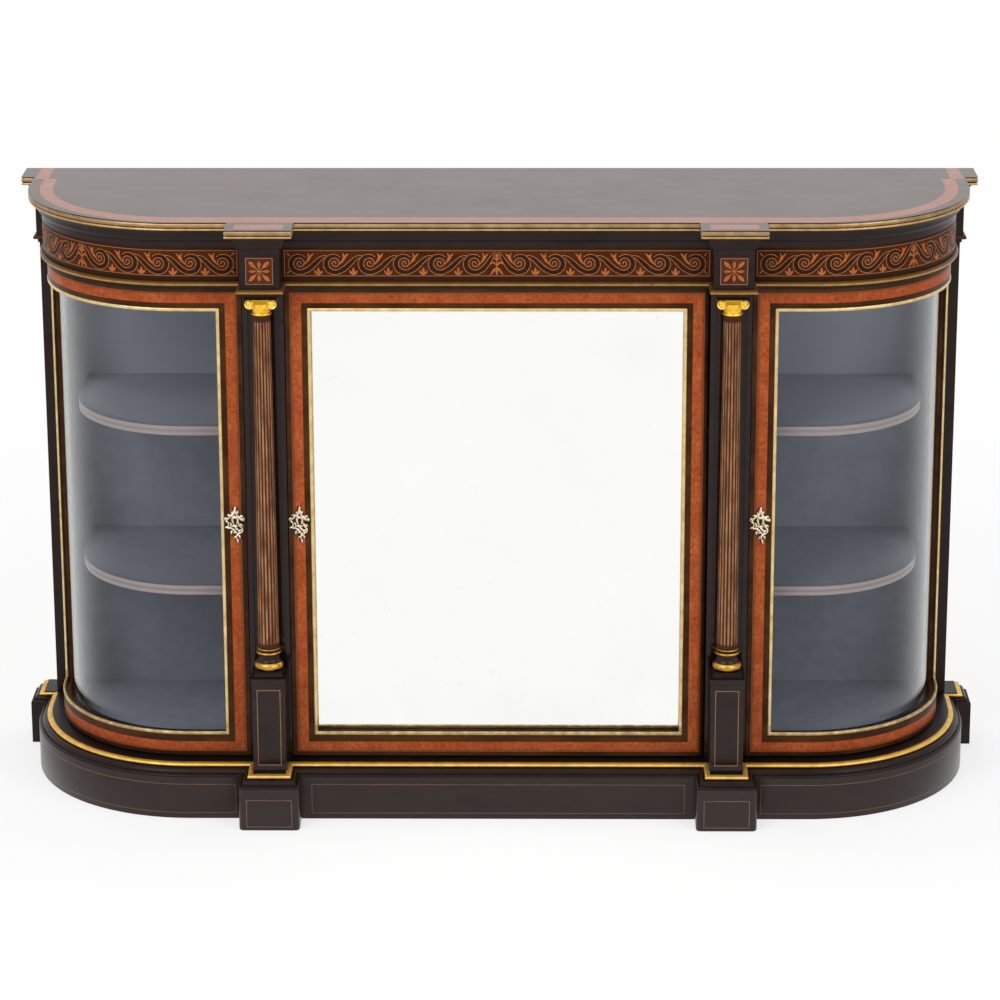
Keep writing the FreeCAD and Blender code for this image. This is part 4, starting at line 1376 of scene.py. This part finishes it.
def blockSquareFinish(name):
    # black block with a string square round a rosewood field
    finish = Finish(name, Specular_IOR_Level=0.16)
    x, y, z = finish.place("XYZ")
    edge = flowerBlock["half"] - abs(abs(x) - columnX).most(abs(z - friezeMiddle))
    onFace = y.under(blockFace + flowerBlock["onFace"])
    grain = finish.noise(70, 5)
    field = finish.mix(grain.over(0.5, 0.15), frieze["ground"], frieze["shade"])
    string = edge.within(-flowerBlock["line"], flowerBlock["line"])
    ground = finish.mix(edge.over(0.0) * onFace, ebonyGround(finish)[0], field)
    ground = finish.mix(string * onFace, ground, frieze["string"])
    finish.set(Base_Color=ground, Roughness=0.3 + 0.12 * finish.noise(12, 4))
    finish.bump(grain, 0.05)
    return finish.material


def makeBlockFlower():
    # four petals on stems to the corners, four short ones between, each with a dark eye
    petals, eyes = [], []
    for turn in range(0, 360, 45):
        far, wide, eye = flowerBlock["corner" if turn % 90 else "between"]
        points = [polar(turn, far * share) for share in flowerBlock["along"]]
        widths = [*flowerBlock["stem"], *(wide * share for share in flowerBlock["swell"]), flowerBlock["tip"]]
        petals.append((points, widths, inlayLeaf))
        start, stop = eye - flowerBlock["eye"], eye + flowerBlock["eye"]
        eyes.append(petal(turn, start, stop, flowerBlock["eyeWide"], inlayEye))
    petals = drawMotif("petals", petals, flowerBlock["proud"])
    eyes = drawMotif("eyes", eyes, flowerBlock["eyeProud"])
    flower = joinPieces([petals, eyes], "rightBlockFlower")
    return closeMotif(carry(flower, movedBy(columnX, blockFace, friezeMiddle)))


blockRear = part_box("frieze_blocks")[1].y
block = columnBlock("rightFriezeBlock", friezeCourse[1], blockFace, blockRear, friezeLow, friezeHigh)
bevelEdges(block, lambda co: near(co.y, blockFace), flowerBlock["round"], 2)
closeEdit(block)
bothSides(block, blockSquareFinish("flowerBlock"), "marquetry", "frieze_blocks")
bothSides(makeBlockFlower(), None, "marquetry")
print("marquetry laid")


# Capitals

capital = {
    "abacus": (0.027, 0.022, 0.0085), "abacusRound": 0.0025,
    "spread": 0.0185, "reach": 0.0175, "roll": 0.0080, "rollSides": 40, "rollCuts": (-0.6, -0.2, 0.2, 0.6),
    # waist of the roll, then rim, slope and depth of its sunk faces and of the cushion's
    "waist": 0.8, "waistReach": 0.25, "rollFace": (0.0012, 0.0004, 0.0012),
    "cushionFace": (0.0014, 0.0006, 0.0016), "cushionDrop": 0.001,
    # spiral in millimetres: points, degrees between them, radius, how fast it closes
    "curl": (28, 27, 7.3, 0.058), "curlWidths": (0.95, 0.8, 0.5), "curlIn": 0.0006,
    "eye": ([(-0.5, 0), (0, 0), (0.5, 0)], (1.2, 1.6, 1.2)), "eyeIn": 0.0004,
    "eggs": 12, "egg": 0.0042, "eggShape": (0.8, 0.8, 1.25), "eggRing": 0.0165, "eggDrop": 0.006,
    "tuckDrop": 0.0075, "tuck": 0.97,
    # necking under the capital, then the flare up to the rolls: added radius, height
    "neck": 0.0155, "bead": (0.0018, -0.004, 0.0005),
    "flare": ((-0.0001, 0.001), (0.0, 0.0025), (0.002, 0.007), (0.0038, 0.0115)), "throat": 0.0035,
}
capitalLow, capitalHigh = levels("capitals")
wide, deep, thick = capital["abacus"]
abacusLow = capitalHigh - thick
rollLevel = abacusLow - capital["roll"]
abacus = columnBlock("rightAbacus", wide, columnY - deep, columnY + deep, abacusLow, capitalHigh)
bevelEdges(abacus, lambda co: near(co.z, abacusLow), capital["abacusRound"], 3)
closeEdit(abacus)
bothSides(abacus, ebony("ebonyAbacus", specular=0.03), "ebonised", "capitals")


def sinkFaces(piece, rim, slope, depth, sides=0):
    # sinks the front and back of a piece inside a rim
    for face in (-1, 1):
        pick(piece, "FACE", lambda co: near(co.y, columnY + face * capital["reach"]), sides)
        bpy.ops.mesh.inset(thickness=rim, depth=0)
        bpy.ops.mesh.inset(thickness=slope, depth=-depth)


def dressHollows(piece, sunk):
    # bright gold, with darker gold as painted shade on the sunk faces where the test says
    dress(piece, giltBright)
    piece.data.materials.append(giltHollowShade)
    for face in piece.data.polygons:
        face.material_index = 1 if abs(face.normal.y) > 0.9 and sunk(face) else 0


def makeVolute(side):
    # roll from front to back, drawn in at its waist, with a raised spiral on each face
    middle, reach = columnX + side * capital["spread"], capital["reach"]
    piece = startPiece(bpy.ops.mesh.primitive_cylinder_add, "volute", vertices=capital["rollSides"],
                       radius=capital["roll"], depth=2 * reach, rotation=(math.pi / 2, 0, 0),
                       location=(middle, columnY, rollLevel))
    for share in capital["rollCuts"]:
        bpy.ops.mesh.select_all(action="SELECT")
        bpy.ops.mesh.bisect(plane_co=(0, columnY + share * reach, 0), plane_no=(0, 1, 0))
    pick(piece, "VERT", lambda co: abs(co.y - columnY) < capital["waistReach"] * reach)
    resize((middle, columnY, rollLevel), capital["waist"], 1, capital["waist"])
    sinkFaces(piece, *capital["rollFace"], sides=capital["rollSides"] // 2)
    closeEdit(piece, 40)
    dressHollows(piece, lambda face: len(face.vertices) > capital["rollSides"] // 2)
    count, step, radius, closing = capital["curl"]
    turns = [math.radians(90 + step * i) * side for i in range(count)]
    radii = [radius * math.exp(-closing * i) for i in range(count)]
    curl = [(r * math.sin(turn), r * math.cos(turn)) for r, turn in zip(radii, turns)]
    parts = [piece]
    for points, widths, outward in ((*capital["eye"], capital["eyeIn"] - reach),
                                    (curl, capital["curlWidths"], capital["curlIn"] - reach),
                                    (curl, capital["curlWidths"], reach - capital["curlIn"])):
        # the spirals in paler gold, a painted highlight
        motif = drawMotif("curl", [(points, widths, giltSpiralHighlight)], 1.0)
        parts.append(closeMotif(carry(motif, movedBy(middle, columnY + outward, rollLevel)), False))
    return joinPieces(parts, "volute")


def makeCushion():
    # band that joins the volutes, hollowed on its front and back
    front, back = columnY - capital["reach"], columnY + capital["reach"]
    low = rollLevel - capital["cushionDrop"]
    piece = columnBlock("cushion", capital["spread"], front, back, low, abacusLow)
    sinkFaces(piece, *capital["cushionFace"])
    closeEdit(piece)
    dressHollows(piece, lambda face: front + 0.001 < face.center.y < back - 0.001)
    return piece


def makeEggs():
    # row of eggs round the moulding under the volutes
    eggs = []
    for i in range(capital["eggs"]):
        turn = 2 * math.pi * (i + 0.5) / capital["eggs"]
        x, y = columnX + capital["eggRing"] * math.cos(turn), columnY + capital["eggRing"] * math.sin(turn)
        egg = startPiece(bpy.ops.mesh.primitive_uv_sphere_add, "egg", segments=10, ring_count=6,
                         radius=capital["egg"], location=(x, y, rollLevel - capital["eggDrop"]),
                         scale=capital["eggShape"])
        pick(egg, "VERT", lambda co: co.z < rollLevel - capital["tuckDrop"])
        aboutColumn(capital["tuck"])
        closeEdit(egg, 80)
        dress(egg, giltBright)
        eggs.append(egg)
    return eggs


neck = capital["neck"]
out, low, high = capital["bead"]
stations = swelling(neck + out, capitalLow + low, capitalLow + high)
stations += [(neck + out, capitalLow + level) for out, level in capital["flare"]]
echinus = turnedPiece("echinus", stations + [(neck + capital["throat"], rollLevel)])
dress(echinus, giltBright)
gold = joinPieces([echinus, makeCushion(), makeVolute(-1), makeVolute(1)] + makeEggs(), "rightCapital")
bothSides(gold, None, "gilding", "capitals")
print("capitals modelled")


# Escutcheons: cast scrolls and leaves round a keyhole

escutcheonBrass = castBrass("paleBrass", (0.92, 0.82, 0.64), (0.58, 0.46, 0.30))
tarnishedBrass = castBrass("tarnishedBrass", (0.09, 0.055, 0.025), (0.04, 0.024, 0.012))
escutcheon = {
    "rise": 0.0085, "bed": 0.0012, "tip": 0.15, "keyhole": ([(0, -2.5), (0, -4), (0, -9.5)], (2.6, 2.6, 1.3)),
    # widening, depth and fineness of the bright casting, of its dark rim, which is painted shadow round the
    # scrolls, and of the keyhole
    "scrolls": (1.2, 0.85, 3), "rim": (1.75, 0.25, 2), "keyholeDepth": 0.25,
}
escutcheonStrokes = [
    ([(-2, 10), (-1, 15), (0.5, 19)], (2.6, 2.2, 1.6)),
    ([(-4, 9.5), (-5.2, 11.5), (-4.4, 13.5)], (1.4, 1.4, 0.6)),
    ([(-7.5, 6), (-10.5, 7.5), (-13.5, 6.5)], (1.6, 2.0, 0.8)),
    ([(-14, 2), (-16.8, 1.2), (-17.5, -2)], (1.2, 1.8, 1.0)),
    ([(8, 4), (11.5, 5.5), (14, 4.4)], (1.6, 2.2, 1.2)),
    ([(-8.5, -6.5), (-6.5, -10), (-8, -14)], (1.2, 1.7, 1.2)),
    ([(0, -13), (1.5, -17), (5.5, -19)], (1.6, 2.0, 1.4)),
    ([(9.5, -19), (6.5, -21.5), (4, -21)], (1.4, 1.8, 0.9)),
    ([(4.5, -37), (3, -40), (5.5, -42)], (1.0, 1.7, 0.8)),
    ([(5.5, -29), (8, -31.5), (7, -34.5)], (1.4, 1.9, 0.7)),
    ([(-5, -21), (-7.5, -24), (-6, -27)], (1.2, 1.8, 0.6)),
    ([(0.3, 18.8), (0.5, 20.3), (0.6, 21.6)], (2.0, 2.7, 1.6)),
    ([(-0.2, 17.5), (-1.5, 12.5), (-4.2, 7), (-4.6, 3)], (1.6, 2.4, 2.4, 1.4)),
    ([(0.6, 17), (1.4, 12.5), (3.2, 7.5), (4, 3)], (1.4, 2.0, 2.0, 1.4)),
    ([(-3.9, 0), (-3.8, -4.5), (-2.4, -9)], (1.2, 1.2, 1.0)),
    ([(3.8, 0), (3.7, -4.5), (2.4, -9)], (1.0, 1.1, 0.9)),
    ([(0.5, 9), (3.4, 10.5), (5.2, 12.5), (5, 14.5)], (1.2, 1.5, 1.1, 0.5)),
    ([(-1, 12), (-5, 8.5), (-9, 4), (-13, 0), (-15.5, -3.5)], (1.6, 1.9, 1.7, 1.4, 1.6)),
    ([(-15.5, -3.5), (-12, -6), (-10.8, -10), (-12.5, -14), (-16.5, -15)], (1.6, 1.2, 1.2, 1.2, 1.6)),
    ([(2, 8), (5.5, 4.5), (9, 0.5), (13.5, -1)], (1.5, 1.8, 2.0, 2.6)),
    ([(13, -1.5), (14.5, -0.5), (15, 1.5)], (2.8, 3.2, 1.6)),
    ([(-3, 5.5), (-5.3, 1), (-4.8, -4), (-2.4, -8), (-3.2, -12)], (1.4, 1.5, 1.4, 1.2, 0.8)),
    ([(3, 5.5), (5.2, 1), (4.6, -5), (7, -11), (11, -15.5)], (1.4, 1.4, 1.3, 1.4, 1.6)),
    ([(-4, 2), (0, 3.8), (4, 2)], (2.0, 2.4, 2.0)),
    ([(-13, -16), (-8, -15.5), (-4, -17.5), (0, -22), (3.5, -26)], (1.5, 1.5, 1.6, 1.5, 1.2)),
    ([(-6, -11.5), (-2, -13), (2, -11), (5, -13.5)], (0.9, 1.4, 1.3, 0.8)),
    ([(8, -9), (11, -10.5), (14, -12.5)], (1.0, 1.4, 0.8)),
    ([(11, -15.5), (12.8, -19), (11, -23), (7, -25.5), (3, -26.5)], (1.5, 1.5, 1.5, 1.4, 1.1)),
    ([(-4, -25), (-1.5, -23), (1.5, -24)], (0.7, 1.2, 0.8)),
    ([(5, -26.5), (1.5, -30), (1.6, -34), (4.5, -38)], (1.3, 1.7, 1.3, 0.6)),
    ([(1.2, -30.5), (-2, -32), (-3.2, -35)], (1.1, 1.0, 0.5)),
]


def roundTip(end, before, width):
    # point just past the end of a stroke
    away = math.dist(end, before)
    return tuple(a + (a - b) / away * width for a, b in zip(end, before))


def castScrolls(name, finish, fat, depth, fine):
    # every stroke closes in a rounded tip
    strokes = []
    for points, widths in escutcheonStrokes:
        start = roundTip(points[0], points[1], widths[0])
        stop = roundTip(points[-1], points[-2], widths[-1])
        widths = [escutcheon["tip"]] + [width * fat for width in widths] + [escutcheon["tip"]]
        strokes.append(([start] + points + [stop], widths, finish))
    return drawMotif(name, strokes, depth, fine)


doors = ("left", "centre", "right")
# bright scrolls on a dark rim that is painted shadow round them
scrolls = castScrolls("castScrolls", escutcheonBrass, *escutcheon["scrolls"])
rim = castScrolls("castShadowRim", tarnishedBrass, *escutcheon["rim"])
keyhole = drawMotif("keyholeShade", [(*escutcheon["keyhole"], blackPolish)], escutcheon["keyholeDepth"])
cast = joinPieces([scrolls, rim, keyhole], "castScrolls")
for side in doors:
    low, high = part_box(side + "_door_escutcheon")
    middle = (low + high) / 2
    copy = copyPiece(cast, side + "Escutcheon")
    carry(copy, movedBy(middle.x, high.y - escutcheon["bed"], middle.z + escutcheon["rise"]))
    settle(closeMotif(copy, False), None, "brass_fittings", side + "_door_escutcheon", body=side + "_door")
bpy.data.objects.remove(cast)
print("escutcheons modelled")


# Finishes of the pieces that keep their CAD shape

keptFinishes = {
    blackPolish: ["rear_plinth_blocks", "rear_stiles", "rear_frieze_blocks", "door_stops"],
    ebony("ebonyPilaster", specular=0.3, gloss=0.08): ["left_pilaster", "right_pilaster"],
    pine("rawPine"): ["plinth_back_rail", "mirror_back"],
    linedBoard("cupboardBoards", cupboardFloorTest): ["base_board", "carcase_top"],
    linedBoard("backBoards", backBoardTest): ["back_panels"],
    lining("slateLining"): ["partitions", "shelf_bearers"],
    shelfFinish("shelfPaint"): [f"{side}_shelves" for side in doors],
    oldSteel("lockSteel"): ["pivot_plates"] + [f"{side}_door_{part}" for side in doors
                                               for part in ("pivots", "lock_bolt")],
    gilding("lockBrass", (0.72, 0.55, 0.28), (0.50, 0.36, 0.15), 0.3, 0.35): [
        f"{side}_door_lock_case" for side in doors],
    sideFrame: [f"{side}_door_{part}_stile" for side in ("left", "right") for part in ("lock", "hinge")],
    centreFrame: ["centre_door_lock_stile", "centre_door_hinge_stile", "centre_door_rails"],
    mirrorGlass("mirrorGlass"): ["mirror_plate"],
}
for finish, names in keptFinishes.items():
    for name in names:
        dress(nodes[name], finish)
print("kept pieces dressed")


# Stage

cameraSettings = {
    "place": (0.0740, -5.9288, 2.4424), "pitch": 0.2863, "yaw": 0.0120, "roll": -0.0026,
    "lens": 129.61, "sensor": 36.0, "shiftY": -0.1,
}
bpy.ops.object.camera_add()
camera = bpy.context.object
camera.data.lens = cameraSettings["lens"]
camera.data.sensor_width = cameraSettings["sensor"]
camera.data.shift_y = cameraSettings["shiftY"]
turn = Matrix.Rotation(cameraSettings["yaw"], 4, "Z")
turn = turn @ Matrix.Rotation(math.pi / 2 - cameraSettings["pitch"], 4, "X")
turn = turn @ Matrix.Rotation(cameraSettings["roll"], 4, "Z")
camera.matrix_world = Matrix.Translation(cameraSettings["place"]) @ turn
bpy.context.scene.camera = camera

lightSettings = {
    "key": {"place": (-2.4, -3.2, 3.4), "size": 2.6, "power": 95},
    "fill": {"place": (2.8, -2.8, 2.6), "size": 2.6, "power": 60},
    "top": {"place": (0.0, 0.6, 3.6), "size": 3.0, "power": 40},
}
lightAim = Vector((0, 0, 0.5))
for name, lamp in lightSettings.items():
    bpy.ops.object.light_add(type="AREA", location=lamp["place"])
    light = bpy.context.object
    light.name = name
    light.data.size = lamp["size"]
    light.data.energy = lamp["power"]
    light.rotation_euler = (lightAim - Vector(lamp["place"])).to_track_quat("-Z", "Y").to_euler()

# the world lights softly and is white where it is seen, mirrored or looked through to
worldSettings = {"colour": white, "ambient": 0.6}
world = bpy.data.worlds.new("studio")
bpy.context.scene.world = world
world.use_nodes = True
studio = NodeTree(world.node_tree)
background = world.node_tree.nodes["Background"]
background.inputs["Color"].default_value = worldSettings["colour"]
seen = studio.ray("Camera").most(studio.ray("Glossy")).most(studio.ray("Transmission"))
studio.feed(background.inputs["Strength"], worldSettings["ambient"] + (1 - worldSettings["ambient"]) * seen)

floorSettings = {
    "size": 24.0, "colour": (0.9, 0.9, 0.9, 1.0), "clear": 1.1, "faded": 2.6, "keep": 0.68, "mirrored": 0.85,
}


def floorFinish():
    # pale floor that keeps a soft shadow near the cabinet and runs out to white
    finish = Finish("paleFloor", Base_Color=floorSettings["colour"], Roughness=0.9, Specular_IOR_Level=0.0)
    x, y = finish.place("XY")
    middle = (floorSettings["clear"] + floorSettings["faded"]) / 2
    faded = x.away(y).over(middle, (floorSettings["faded"] - floorSettings["clear"]) / 2)
    shown = finish.ray("Camera") * (floorSettings["keep"] + (1 - floorSettings["keep"]) * faded)
    share = shown.most(finish.ray("Glossy") * floorSettings["mirrored"])
    glow = finish.node("ShaderNodeEmission", {}, {"Color": white, "Strength": 1.0})
    lit = Wire(finish, finish.shader.outputs[0])
    finish.surface(finish.node("ShaderNodeMixShader", {}, {0: share, 1: lit, 2: glow}))
    return finish.material


deselect()
bpy.ops.mesh.primitive_plane_add(size=floorSettings["size"])
floor = bpy.context.object
floor.name = "floor"
dress(floor, floorFinish())
bpy.context.scene.view_settings.view_transform = "Standard"
print("stage set")
